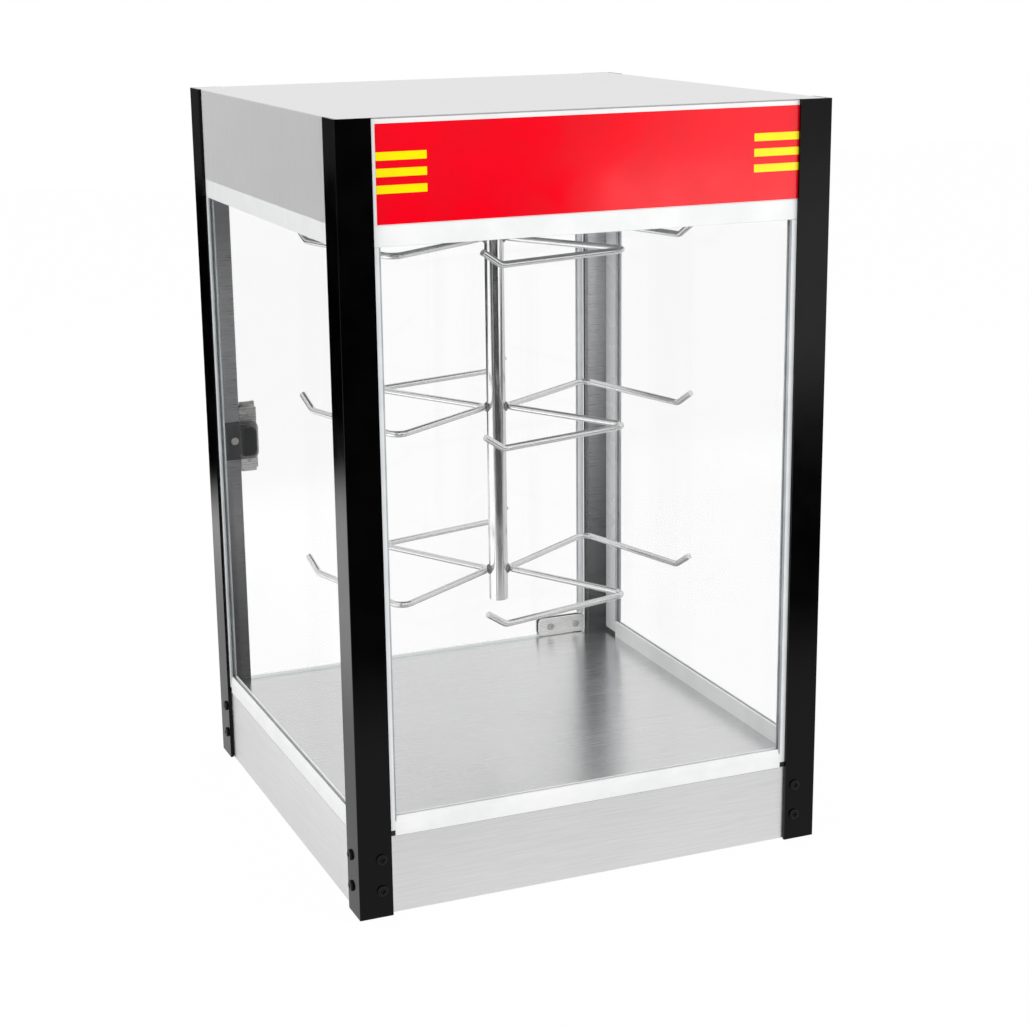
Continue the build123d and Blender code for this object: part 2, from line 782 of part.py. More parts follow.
bushing_foot = ceiling_top - bushing_neck_length
with BuildPart() as rack_bushing:
    rod((0, 0, bushing_foot), (0, 0, 1), bushing_radius, bushing_neck_length)
    rod((0, 0, ceiling_top), (0, 0, 1), bushing_flange, bushing_flange_height)
    chamfer(rack_bushing.edges().filter_by(GeomType.CIRCLE).sort_by(Axis.Z)[-1], bushing_chamfer)
    rod((0, 0, bushing_foot), (0, 0, 1), shaft_radius + drive_gap,
        bushing_neck_length + bushing_flange_height, Mode.SUBTRACT)
save(rack_bushing, "rack_bushing")

# Small pan-head screws of the header, the motor and the catch
def small_screw(length):
    """Small pan-head screw of a given length under its head."""
    return pan_screw(small_head_radius, small_head_height, small_screw_radius, length)


catch_screw_x = -leaf_x - catch_screw_inset
catch_face = face_y - cover_depth - catch_seat_gap - catch_wall
small_screw_planes = []
for hand in (-1, 1):
    for end in (-1, 1):
        for height in header_screw_heights:
            small_screw_planes.append(outward(hand * (face_x - sheet), end * screw_y, height, (-hand, 0, 0)))
long_screw_planes = [outward(catch_screw_x, catch_face, catch_height, (0, -1, 0))]
sign_screw_planes = []
for hand in (-1, 1):
    for height in header_screw_heights:
        sign_screw_planes.append(outward(hand * screw_x, -face_y + sign_thickness, height, (0, 1, 0)))
    for end in (-ceiling_screw_y, ceiling_screw_y):
        long_screw_planes.append(Plane((hand * ceiling_screw_x, end, ceiling_top)))
    for end in bracket_screw_ys:
        long_screw_planes.append(Plane((hand * bracket_screw_x, end, ceiling_top + bracket_wall)))
    for end in (-motor_screw_y, motor_screw_y):
        under = (hand * motor_screw_x, end, bracket_top - bracket_wall)
        long_screw_planes.append(Plane(under, x_dir=(1, 0, 0), z_dir=(0, 0, -1)))
with BuildPart() as panel_screws:
    with Locations(*small_screw_planes):
        add(small_screw(sheet + post_wall - screw_end_gap))
    with Locations(*sign_screw_planes):
        add(small_screw(sign_thickness + post_wall - screw_end_gap))
    with Locations(*long_screw_planes):
        add(small_screw(long_screw_length))
save(panel_screws, "panel_screws")


# Wire covers: thin brushed channels that close the back of the rear posts
def wire_cover(hand):
    """Cover from the deck to the ceiling over one rear post's rear leaf."""
    near = leaf_x + contact_gap
    far = face_x - sheet_gap
    face = face_y - cover_depth
    with BuildPart() as cover:
        with BuildSketch(Plane.XY.offset(deck_height)):
            with Locations((hand * (near + far) / 2, face + sheet / 2)):
                Rectangle(far - near, sheet)
            with Locations((hand * (near + sheet / 2), face + cover_depth / 2)):
                Rectangle(sheet, cover_depth)
        extrude(amount=header_bottom - deck_height)
        if hand < 0:
            rod((catch_screw_x, face, catch_height), (0, 1, 0),
                small_screw_radius + screw_gap, sheet, Mode.SUBTRACT)
    return cover


save(wire_cover(-1), "wire_cover_left")
save(wire_cover(1), "wire_cover_right")

# Supply to the header: a terminal block at each end of a cable behind the right cover
base_block_z = pan_top + sheet_gap
header_block_z = header_bottom + header_block_lift
block_back = cable_y + block_back_wall
base_cable_z = base_block_z + block_height / 2
header_cable_z = header_block_z + block_height / 2
with BuildPart() as terminal_blocks:
    for foot in (base_block_z, header_block_z):
        block(block_span, (block_back - block_width, block_back), (foot, foot + block_height))
        for pole in range(pole_count):
            pole_x = block_span[0] + pole_edge + pole_pitch * pole
            rod((pole_x, block_back - pole_inset, foot + block_height), (0, 0, -1), pole_radius, pole_depth,
                Mode.SUBTRACT)
save(terminal_blocks, "terminal_blocks")

cable_start = block_span[1] + cable_end_gap
with BuildPart() as riser_cable:
    with BuildLine() as cable_path:
        FilletPolyline(
            (cable_start, cable_y, base_cable_z),
            (cable_x, cable_y, base_cable_z),
            (cable_x, cable_y, header_cable_z),
            (cable_start, cable_y, header_cable_z),
            radius=cable_bend,
        )
    with BuildSketch(Plane(cable_path.line @ 0, z_dir=cable_path.line % 0)):
        Circle(cable_radius)
    sweep()
save(riser_cable, "riser_cable")

# Heater element under the deck and the straps that hold it up
element_z = deck_under - element_radius - sheet_gap
with BuildPart() as heater_element:
    with BuildLine() as element_path:
        outer_x = 1.5 * element_pitch
        inner_x = 0.5 * element_pitch
        FilletPolyline(
            (-outer_x, element_tail, element_z), (-outer_x, -element_leg, element_z),
            (-inner_x, -element_leg, element_z), (-inner_x, element_leg, element_z),
            (inner_x, element_leg, element_z), (inner_x, -element_leg, element_z),
            (outer_x, -element_leg, element_z), (outer_x, element_tail, element_z),
            radius=element_pitch / 2 - element_bend_gap,
        )
    with BuildSketch(Plane(element_path.line @ 0, z_dir=element_path.line % 0)):
        Circle(element_radius)
    sweep()
save(heater_element, "heater_element")

strap_top = element_z - element_radius - sheet_gap
strap_half = 1.5 * element_pitch + strap_side_length
with BuildPart() as heater_straps:
    for strap_y in (-strap_pitch, 0, strap_pitch):
        with BuildSketch(Plane.XZ.offset(-strap_y - strap_width / 2)):
            with Locations((0, strap_top - strap_wall / 2)):
                Rectangle(2 * strap_half, strap_wall)
            for hand in (-1, 1):
                with Locations((hand * (strap_half - strap_wall / 2), (strap_top + deck_under) / 2)):
                    Rectangle(strap_wall, deck_under - strap_top)
                with Locations((hand * (strap_half + strap_foot_length / 2), deck_under - strap_wall / 2)):
                    Rectangle(strap_foot_length, strap_wall)
        extrude(amount=strap_width)
save(heater_straps, "heater_straps")

# Thermostat and its knob
with BuildPart() as thermostat:
    block((knob_x - thermostat_half_width, knob_x + thermostat_half_width),
          (face_y - sheet - thermostat_depth, face_y - sheet - contact_gap),
          (control_height - thermostat_half_width, control_height + thermostat_half_width))
    fillet(thermostat.edges().filter_by(Axis.Y), thermostat_corner)
    rod((knob_x, face_y - thermostat_depth, control_height), (0, 1, 0), spindle_radius,
        thermostat_depth + spindle_length)
save(thermostat, "thermostat")

with BuildPart() as thermostat_knob:
    knob_back = face_y + knob_gap
    knob_front = knob_back + knob_length
    grip_radius = knob_radius - knob_flange_width
    rod((knob_x, knob_back, control_height), (0, 1, 0), knob_radius, knob_flange_height)
    rod((knob_x, knob_back, control_height), (0, 1, 0), grip_radius, knob_length)
    fillet(thermostat_knob.edges().filter_by(GeomType.CIRCLE).sort_by(Axis.Y)[-1], knob_edge_radius)
    block((knob_x - knob_groove, knob_x + knob_groove), (knob_front - knob_groove, knob_front),
          (control_height, control_height + grip_radius), Mode.SUBTRACT)
    rod((knob_x, knob_back, control_height), (0, 1, 0), spindle_radius + pivot_gap, knob_bore_depth,
        Mode.SUBTRACT)
save(thermostat_knob, "thermostat_knob")

# Rocker switches
rocker_pivot_y = face_y - rocker_pivot_depth
with BuildPart() as switch_bodies:
    for place in rocker_places:
        block(centred(place, rocker_cut_width + bezel_lap), (face_y, face_y + bezel_height),
              centred(control_height, rocker_cut_height + bezel_lap))
        block(centred(place, rocker_cut_width - switch_gap), (face_y - switch_depth, face_y),
              centred(control_height, rocker_cut_height - switch_gap))
        block(centred(place, rocker_half_width + rocker_gap),
              (face_y - rocker_well_depth, face_y + bezel_height),
              centred(control_height, rocker_half_height + rocker_swing_gap), Mode.SUBTRACT)
        rod((place - rocker_cut_width, rocker_pivot_y, control_height), (1, 0, 0),
            trunnion_radius + pivot_gap, 2 * rocker_cut_width, Mode.SUBTRACT)
save(switch_bodies, "switch_bodies")


def rocker_plane(place, along):
    """Plane across a rocker, tipped to its rest position: first axis outwards, second axis up."""
    tilt = radians(rocker_tilt)
    pivot = (place + along, rocker_pivot_y, control_height)
    return Plane(origin=pivot, x_dir=(0, cos(tilt), sin(tilt)), z_dir=(1, 0, 0))


for place, rocker_name in zip(rocker_places, ("lamp_rocker", "heat_rocker")):
    with BuildPart() as rocker:
        with BuildSketch(rocker_plane(place, -rocker_half_width)):
            with BuildLine():
                Polyline(
                    (-rocker_root_depth, -rocker_half_height), (rocker_tip_height, -rocker_half_height),
                    (rocker_waist_height, 0), (rocker_tip_height, rocker_half_height),
                    (-rocker_root_depth, rocker_half_height), close=True,
                )
            make_face()
        extrude(amount=2 * rocker_half_width)
        trunnion_half = rocker_cut_width - trunnion_end_gap
        with BuildSketch(rocker_plane(place, -trunnion_half)):
            Circle(trunnion_radius)
        extrude(amount=2 * trunnion_half)
    save(rocker, rocker_name)

# Power inlet, with its three blades
with BuildPart() as power_inlet:
    inlet_face = face_y + inlet_flange_height
    socket_floor = face_y - socket_depth
    block(centred(inlet_x, inlet_half_width + inlet_flange_side), (face_y, inlet_face),
          centred(control_height, inlet_half_height + inlet_flange_end))
    fillet(power_inlet.edges().filter_by(Axis.Y), inlet_corner)
    block(centred(inlet_x, inlet_half_width - inlet_gap), (face_y - inlet_depth, face_y),
          centred(control_height, inlet_half_height - inlet_gap))
    block(centred(inlet_x, socket_half_width), (socket_floor, inlet_face),
          centred(control_height, socket_half_height), Mode.SUBTRACT)
    for blade_x, blade_z in blade_places:
        block(centred(inlet_x + blade_x, blade_half_width), (socket_floor, face_y - blade_inset),
              centred(control_height + blade_z, blade_half_height))
save(power_inlet, "power_inlet")

# Door pane
pane_left = -leaf_x + pane_edge_gap
pane_right = leaf_x - pane_edge_gap - trim_wall
hinge_foot = deck_height + hinge_rise
hinge_head = top_rail_bottom - hinge_rise
pane_foot = hinge_foot + hinge_web + glass_lift
pane_head = hinge_head - hinge_web - glass_lift
hinge_start = pivot_x + hinge_pivot_edge - hinge_length
hinge_screw_xs = [hinge_start + offset for offset in hinge_screw_offsets]
hinge_screw_zs = (hinge_foot + hinge_height / 2, hinge_head - hinge_height / 2)
pull_x = -leaf_x + pull_inset + pull_width / 2
pull_screw_zs = centred(catch_height, pull_screw_offset)
with BuildPart() as door_pane:
    block((pane_left, pane_right), (pane_inner, pane_outer), (pane_foot, pane_head))
    fillet(door_pane.edges().filter_by(Axis.Y), pane_corner)
    for screw_z in hinge_screw_zs:
        for place in hinge_screw_xs:
            rod((place, pane_inner, screw_z), (0, 1, 0), small_screw_radius + hinge_hole_gap, pane,
                Mode.SUBTRACT)
    for screw_z in pull_screw_zs:
        rod((pull_x, pane_inner, screw_z), (0, 1, 0), small_screw_radius + pull_hole_gap, pane, Mode.SUBTRACT)
save(door_pane, "door_pane")


# Door hinges: clamps on the pane's corners, each with a pivot pin
def door_hinge(foot, upwards):
    """Clamp round the pane's edge; its pin points away from the pane."""
    outer_half = pane / 2 + glass_gap + hinge_wall
    with BuildPart() as hinge:
        with BuildSketch(Plane(origin=(hinge_start, pane_middle, foot), x_dir=(0, 1, 0), z_dir=(1, 0, 0))):
            with Locations((0, upwards * hinge_height / 2)):
                Rectangle(2 * outer_half, hinge_height)
        extrude(amount=hinge_length)
        fillet(hinge.edges().filter_by(Axis.Y).group_by(Axis.X)[0], hinge_corner)
        block((hinge_start, hinge_start + hinge_length), (pane_inner - glass_gap, pane_outer + glass_gap),
              sorted((foot + upwards * hinge_web, foot + upwards * hinge_height)), Mode.SUBTRACT)
        rod((pivot_x, pane_middle, foot), (0, 0, -upwards), pivot_pin_radius, pivot_pin_length)
        for place in hinge_screw_xs:
            rod((place, pane_middle - outer_half, foot + upwards * hinge_height / 2), (0, 1, 0),
                small_screw_radius + screw_gap, 2 * outer_half, Mode.SUBTRACT)
    return hinge


save(door_hinge(hinge_foot, 1), "door_hinge_lower")
save(door_hinge(hinge_head, -1), "door_hinge_upper")

# Bushings that the hinge pins turn in
with BuildPart() as hinge_bushings:
    for foot, away in ((deck_height, -1), (top_rail_bottom, 1)):
        rod((pivot_x, pane_middle, foot), (0, 0, -away), bush_flange_radius, bush_flange)
        rod((pivot_x, pane_middle, foot), (0, 0, away), bush_radius, bush_length)
        rod((pivot_x, pane_middle, foot - away * bush_flange), (0, 0, away),
            pivot_pin_radius + pivot_gap, bush_length + bush_flange, Mode.SUBTRACT)
save(hinge_bushings, "hinge_bushings")

# Trim on the pane's hinge edge, between the hinges
trim_outer = pane_right + trim_wall
trim_half = pane / 2 + glass_gap + trim_wall
with BuildPart() as door_edge_trim:
    trim_span = (hinge_foot + hinge_height + trim_end_gap, hinge_head - hinge_height - trim_end_gap)
    block((trim_outer - trim_width, trim_outer), centred(pane_middle, trim_half), trim_span)
    block((trim_outer - trim_width, pane_right + trim_edge_gap),
          (pane_inner - glass_gap, pane_outer + glass_gap), trim_span, Mode.SUBTRACT)
save(door_edge_trim, "door_edge_trim")

# Finger pull outside the pane and the steel strike inside it
with BuildPart() as door_pull:
    pull_span = centred(catch_height, pull_height / 2)
    pull_right = pull_x + pull_width / 2
    block(centred(pull_x, pull_width / 2), (pane_outer, pane_outer + pull_wall), pull_span)
    block((pull_right - pull_wall, pull_right), (pane_outer, pane_outer + pull_depth), pull_span)
    fillet(door_pull.edges().filter_by(Axis.Z).group_by(Axis.Y)[-1], pull_edge_radius)
    fillet(door_pull.edges().filter_by(Axis.Y).group_by(Axis.X)[0], pull_corner)
    block(centred(pull_x, pull_width / 2), (pane_inner - strike_wall, pane_inner),
          centred(catch_height, strike_height / 2))
    for screw_z in pull_screw_zs:
        rod((pull_x, pane_inner - strike_wall, screw_z), (0, 1, 0), small_screw_radius + screw_gap,
            pane + strike_wall + pull_depth, Mode.SUBTRACT)
save(door_pull, "door_pull")

# Screws of the hinges and the pull
clamp_depth = pane + 2 * (glass_gap + hinge_wall)
clamp_face = pane_middle - clamp_depth / 2
with BuildPart() as door_screws:
    for screw_z in hinge_screw_zs:
        with Locations(*[outward(place, clamp_face, screw_z, (0, -1, 0)) for place in hinge_screw_xs]):
            add(small_screw(clamp_depth))
    for screw_z in pull_screw_zs:
        with Locations(outward(pull_x, pane_outer + pull_wall, screw_z, (0, 1, 0))):
            add(small_screw(pane + pull_wall))
save(door_screws, "door_screws")

# Catch plate on the left wire cover, with the magnet that the door closes on
catch_right = -leaf_x + catch_overhang
with BuildPart() as catch_plate:
    block((catch_right - catch_size, catch_right), (catch_face, catch_face + catch_wall),
          centred(catch_height, catch_size / 2))
    fillet(catch_plate.edges().filter_by(Axis.Y).group_by(Axis.X)[-1], catch_corner)
    fillet(catch_plate.edges().filter_by(Axis.Y).group_by(Axis.X)[0], catch_rear_corner)
    rod((catch_screw_x, catch_face, catch_height), (0, 1, 0), small_screw_radius + screw_gap, catch_wall,
        Mode.SUBTRACT)
save(catch_plate, "catch_plate")

with BuildPart() as catch_magnet:
    magnet_right = catch_right - magnet_inset
    magnet_face = pane_inner - strike_wall - contact_gap
    block((magnet_right - magnet_width, magnet_right), (catch_face + catch_wall, magnet_face),
          centred(catch_height - magnet_offset, magnet_height / 2))
    fillet(catch_magnet.edges().filter_by(Axis.Y).group_by(Axis.X)[-1], magnet_corner)
save(catch_magnet, "catch_magnet")

# Rack shaft: a tube with a plug welded in its top for the motor's shaft
with BuildPart() as rack_shaft:
    rod((0, 0, shaft_bottom), (0, 0, 1), shaft_radius, shaft_top - shaft_bottom)
    rod((0, 0, shaft_bottom), (0, 0, 1), shaft_bore, shaft_top - plug_length - shaft_bottom, Mode.SUBTRACT)
    chamfer(rack_shaft.edges().filter_by(GeomType.CIRCLE).sort_by(Axis.Z)[:2], shaft_chamfer)
    rod((0, 0, shaft_top - plug_length), (0, 0, 1), drive_radius + pivot_gap, plug_length, Mode.SUBTRACT)
    rod((-shaft_radius, 0, shaft_top - plug_length / 2), (1, 0, 0), pin_radius + pivot_gap, 2 * shaft_radius,
        Mode.SUBTRACT)
save(rack_shaft, "rack_shaft")

# The motor's output shaft, with the cross pin that turns and carries the rack
with BuildPart() as drive_shaft:
    drive_foot = shaft_top - plug_length + drive_end_gap
    pin_half = shaft_radius + pin_end_length
    rod((0, 0, drive_foot), (0, 0, 1), drive_radius, drive_head - drive_foot)
    rod((-pin_half, 0, shaft_top - plug_length / 2), (1, 0, 0), pin_radius, 2 * pin_half)
save(drive_shaft, "drive_shaft")


# Hangers: each tier is two bent wires, welded to opposite sides of the shaft
def polar(distance, angle, height):
    """Point at a distance and an angle from the shaft's axis."""
    return (distance * cos(radians(angle)), distance * sin(radians(angle)), height)


def hub_vertex():
    """Distance of the wire's sharp vertex from the axis, so that its bend just meets the shaft."""
    contact = shaft_radius + wire_radius + weld_gap
    vertex = contact
    for _ in range(6):
        half_angle = atan2(corner_distance * sin(pi / 4), corner_distance * cos(pi / 4) - vertex)
        vertex = contact - hub_bend * (1 / sin(half_angle) - 1)
    return vertex


def hanger_path(height, turn):
    """Corners of one wire, from one upturned tip to the other."""
    arms = []
    for arm_turn in (turn, turn + 90):
        arms.append([
            polar(tip_distance, tip_angle + arm_turn, height + tip_height),
            polar(elbow_distance, elbow_angle + arm_turn, height),
            polar(corner_distance, corner_angle + arm_turn, height),
        ])
    hub = polar(hub_vertex(), corner_angle + 45 + turn, height)
    return arms[0] + [hub] + arms[1][::-1]


for tier_name, height in zip(("lower", "middle", "upper"), tier_heights):
    with BuildPart() as hanger:
        for turn in (0, 180):
            with BuildLine() as wire_path:
                bends = (elbow_bend, corner_bend, hub_bend, corner_bend, elbow_bend)
                FilletPolyline(*hanger_path(height, turn), radius=bends)
            with BuildSketch(Plane(wire_path.line @ 0, z_dir=wire_path.line % 0)):
                Circle(wire_radius)
            sweep(path=wire_path.line)
    save(hanger, "hanger_" + tier_name)
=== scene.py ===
"""Looks of the heated counter display cabinet: finishes, sign films, weld beads and printed marks.

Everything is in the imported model's own frame, in metres: +Z up, the sign towards -Y and the
operator's door towards +Y. Lengths below are written in millimetres times MM.
"""
from __future__ import annotations

import json
import logging
from abc import ABC, abstractmethod
from dataclasses import dataclass
from enum import Enum

import bmesh
import bpy
import numpy as np
from bpy.types import Material, Mesh, Node, NodeSocket, NodeTree, Object, Scene
from mathutils import Matrix, Vector

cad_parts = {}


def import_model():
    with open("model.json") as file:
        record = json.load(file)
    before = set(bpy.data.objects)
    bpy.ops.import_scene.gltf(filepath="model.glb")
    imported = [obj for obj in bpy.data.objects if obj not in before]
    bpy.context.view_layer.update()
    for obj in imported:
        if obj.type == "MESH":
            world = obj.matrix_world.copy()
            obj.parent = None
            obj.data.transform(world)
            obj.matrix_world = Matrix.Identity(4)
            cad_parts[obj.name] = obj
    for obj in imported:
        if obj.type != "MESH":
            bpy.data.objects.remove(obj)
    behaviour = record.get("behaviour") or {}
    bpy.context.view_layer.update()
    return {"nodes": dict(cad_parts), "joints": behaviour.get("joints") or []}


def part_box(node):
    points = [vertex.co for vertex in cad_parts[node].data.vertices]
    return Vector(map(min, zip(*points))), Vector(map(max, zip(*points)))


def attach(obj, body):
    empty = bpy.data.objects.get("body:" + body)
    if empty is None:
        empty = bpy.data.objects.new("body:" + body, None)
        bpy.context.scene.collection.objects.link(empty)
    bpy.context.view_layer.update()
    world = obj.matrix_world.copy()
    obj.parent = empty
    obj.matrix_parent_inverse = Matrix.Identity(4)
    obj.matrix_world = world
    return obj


MM = 0.001
LOG = logging.getLogger("cabinet")


class Body(Enum):
    """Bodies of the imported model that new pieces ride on."""

    CABINET = "cabinet"
    RACK = "rack"
    KNOB = "knob"
    LAMP_SWITCH = "lamp_switch"
    HEAT_SWITCH = "heat_switch"


class Grain(Enum):
    """Way that a brushed surface's lines run.

    The first vector says how fast the pattern changes along X, Y and Z, and the second is the
    direction across the lines, in which they smear reflections.
    """

    LEVEL = ((0.02, 0.02, 1.0), (0.0, 0.0, 1.0))
    UPRIGHT = ((1.0, 1.0, 0.02), (0.0, 1.0, 0.0))
    ALONG_X = ((0.006, 1.0, 1.0), (0.0, 1.0, 0.0))
    NONE = ((1.0, 1.0, 1.0), (0.0, 0.0, 1.0))

    @property
    def stretch(self) -> tuple[float, float, float]:
        """How fast the pattern changes along each axis."""
        return self.value[0]

    @property
    def smear(self) -> tuple[float, float, float]:
        """Direction across the lines."""
        return self.value[1]


def linear(hex_colour: str) -> tuple[float, float, float, float]:
    """Turns an sRGB hex colour to linear light, with full alpha.

    Each channel over 255 is divided by 12.92 where it is dark, and elsewhere moved by 0.055,
    divided by 1.055 and raised to the power 2.4.

    Args:
        hex_colour: a hash and six hex digits.

    Returns:
        Red, green, blue and alpha from 0 to 1.
    """
    channels = np.array([int(hex_colour[place:place + 2], 16) for place in (1, 3, 5)]) / 255
    light = np.where(channels <= 0.04045, channels / 12.92, ((channels + 0.055) / 1.055) ** 2.4)
    return (*light.tolist(), 1.0)


def feed(tree: NodeTree, node: Node, sockets: dict) -> None:
    """Sets a node's inputs, plain values on the inputs themselves.

    Args:
        tree: node tree that holds the node.
        node: node that takes the values.
        sockets: input name or number to a plain value, or to the output that feeds it.
    """
    for name, value in sockets.items():
        if isinstance(value, NodeSocket):
            tree.links.new(value, node.inputs[name])
        else:
            node.inputs[name].default_value = value


def add_node(tree: NodeTree, kind: str, sockets: dict | None = None, **settings) -> Node:
    """Adds one shader node with its settings and links.

    Args:
        tree: node tree that takes the node.
        kind: Blender's type name of the node.
        sockets: its inputs, as in feed.
        settings: the node's own attributes, such as operation.

    Returns:
        The new node.
    """
    made = tree.nodes.new(kind)
    for name, value in settings.items():
        setattr(made, name, value)
    feed(tree, made, sockets or {})
    return made


@dataclass(frozen=True)
class Finish(ABC):
    """One real material: it builds a Blender material named after it."""

    name: str

    def build(self) -> Material:
        """Makes the material: a Principled shader that the finish dresses, and an output.

        Returns:
            The new material.
        """
        material = bpy.data.materials.new(self.name)
        material.use_nodes = True
        tree = material.node_tree
        tree.nodes.clear()
        shader = add_node(tree, "ShaderNodeBsdfPrincipled")
        add_node(tree, "ShaderNodeOutputMaterial", {"Surface": shader.outputs["BSDF"]})
        self.dress(tree, shader)
        return material

    @abstractmethod
    def dress(self, tree: NodeTree, shader: Node) -> None:
        """Sets the shader's values and adds the nodes that feed it.

        Args:
            tree: the material's node tree.
            shader: its Principled shader.
        """


def pattern(tree: NodeTree, grain: Grain, spacing: float, detail: float = 3.0,
            roughness: float = 0.55) -> NodeSocket:
    """Noise on the piece's own Object coordinates, drawn out along the grain.

    Args:
        tree: node tree that takes the nodes.
        grain: way the lines run.
        spacing: distance between neighbouring lines or spots, in metres.
        detail: octaves of finer noise on top.
        roughness: how strong the finer octaves are.

    Returns:
        Output from 0 to 1, mostly between 0.3 and 0.7.
    """
    place = add_node(tree, "ShaderNodeTexCoord")
    drawn = add_node(tree, "ShaderNodeMapping", {
        "Vector": place.outputs["Object"], "Scale": grain.stretch})
    noise = add_node(tree, "ShaderNodeTexNoise", {
        "Vector": drawn.outputs["Vector"], "Scale": 1 / spacing, "Detail": detail, "Roughness": roughness})
    return noise.outputs["Fac"]


def spread(tree: NodeTree, source: NodeSocket, low: float, high: float,
           start: float = 0.3, end: float = 0.7) -> NodeSocket:
    """Maps a value's start to end range smoothly onto low to high, and holds it beyond.

    Args:
        tree: node tree that takes the node.
        source: the value.
        low: result where it is at start or before.
        high: result where it is at end or past it.
        start: first edge of the range, by default a pattern's.
        end: last edge of the range.

    Returns:
        Output with the mapped value.
    """
    mapped = add_node(tree, "ShaderNodeMapRange", {
        "Value": source, "From Min": start, "From Max": end, "To Min": low, "To Max": high},
        interpolation_type="SMOOTHSTEP")
    return mapped.outputs["Result"]


def blend_colours(tree: NodeTree, share: NodeSocket, first: str, second: str) -> NodeSocket:
    """Mixes two hex colours.

    Args:
        tree: node tree that takes the node.
        share: 0 gives the first colour and 1 the second.
        first: hex colour.
        second: hex colour.

    Returns:
        Output with the mixed colour.
    """
    mixed = add_node(tree, "ShaderNodeMix", {
        "Factor": share, "A": linear(first), "B": linear(second)}, data_type="RGBA")
    return mixed.outputs["Result"]


def bumped(tree: NodeTree, height: NodeSocket, depth: float, strength: float) -> NodeSocket:
    """Normal of a surface whose height follows a pattern.

    Args:
        tree: node tree that takes the node.
        height: the pattern.
        depth: how far the surface rises from low to high, in metres.
        strength: share of that rise that the normal follows.

    Returns:
        Output with the normal.
    """
    bump = add_node(tree, "ShaderNodeBump", {"Height": height, "Distance": depth, "Strength": strength})
    return bump.outputs["Normal"]


@dataclass(frozen=True)
class BrushedMetal(Finish):
    """Rolled sheet brushed with an abrasive belt: long fine lines that smear its reflections.

    sheen is the roughness at its smoothest and its dullest place, smearing says how far the lines
    draw a reflection out, and handling is the share of the roughness that hand marks vary.
    """

    pale: str
    dull: str
    grain: Grain
    sheen: tuple[float, float] = (0.28, 0.4)
    line_spacing: float = 1.1 * MM
    line_depth: float = 0.012 * MM
    handling_spacing: float = 70 * MM
    smearing: float = 0.85
    handling: float = 0.35

    def dress(self, tree: NodeTree, shader: Node) -> None:
        """Lines vary the colour, the roughness and the height, and hand marks vary the roughness."""
        lines = pattern(tree, self.grain, self.line_spacing, detail=4.0, roughness=0.7)
        marks = pattern(tree, Grain.NONE, self.handling_spacing, detail=2.0)
        both = add_node(tree, "ShaderNodeMix", {
            "Factor": self.handling, "A": spread(tree, lines, 0, 1), "B": spread(tree, marks, 0, 1)})
        feed(tree, shader, {
            "Metallic": 1.0,
            "Base Color": blend_colours(tree, spread(tree, lines, 0, 1), self.dull, self.pale),
            "Roughness": spread(tree, both.outputs["Result"], *self.sheen, 0, 1),
            "Normal": bumped(tree, lines, self.line_depth, strength=0.6),
        })
        if self.smearing:
            across = add_node(tree, "ShaderNodeCombineXYZ", dict(zip("XYZ", self.grain.smear)))
            feed(tree, shader, {"Anisotropic": self.smearing, "Tangent": across.outputs["Vector"]})


@dataclass(frozen=True)
class DrawnTube(BrushedMetal):
    """Stainless tube and wire, drawn and tumbled bright: nearly a mirror, with faint draw lines."""

    sheen: tuple[float, float] = (0.08, 0.2)
    line_spacing: float = 0.8 * MM
    line_depth: float = 0.004 * MM
    handling_spacing: float = 18 * MM
    smearing: float = 0.0


@dataclass(frozen=True)
class SootedSteel(BrushedMetal):
    """Brushed cover with painted shade: its colour sinks to a painted dark below low and keeps the sheet's
    own colour above high.
    """

    low: float = 90 * MM
    high: float = 560 * MM
    # colour of the painted shade at the cover's foot
    sooted: str = "#3a3a3c"

    def dress(self, tree: NodeTree, shader: Node) -> None:
        """As brushed sheet, with the colour sinking to the painted shade towards the cover's foot."""
        super().dress(tree, shader)
        bright = shader.inputs["Base Color"].links[0].from_socket
        place = add_node(tree, "ShaderNodeTexCoord")
        height = add_node(tree, "ShaderNodeSeparateXYZ", {"Vector": place.outputs["Object"]})
        # share of the sheet's own colour over the painted shade, 0 below low and 1 above high
        unshaded = spread(tree, height.outputs["Z"], 0, 1, self.low, self.high)
        mixed = add_node(tree, "ShaderNodeMix", {
            "Factor": unshaded, "A": linear(self.sooted), "B": bright}, data_type="RGBA")
        feed(tree, shader, {"Base Color": mixed.outputs["Result"]})


@dataclass(frozen=True)
class Spangled(Finish):
    """Hot-dip galvanised sheet: zinc crystals of slightly different greys."""

    pale: str = "#b9bcbe"
    dull: str = "#8f9396"
    sheen: tuple[float, float] = (0.34, 0.52)
    crystal: float = 9 * MM

    def dress(self, tree: NodeTree, shader: Node) -> None:
        """Voronoi cells give each crystal its own grey and roughness."""
        place = add_node(tree, "ShaderNodeTexCoord")
        cells = add_node(tree, "ShaderNodeTexVoronoi", {
            "Vector": place.outputs["Object"], "Scale": 1 / self.crystal})
        parts = add_node(tree, "ShaderNodeSeparateColor", {"Color": cells.outputs["Color"]})
        tone = parts.outputs["Red"]
        feed(tree, shader, {
            "Metallic": 1.0,
            "Base Color": blend_colours(tree, tone, self.dull, self.pale),
            "Roughness": spread(tree, tone, *self.sheen, 0, 1),
        })


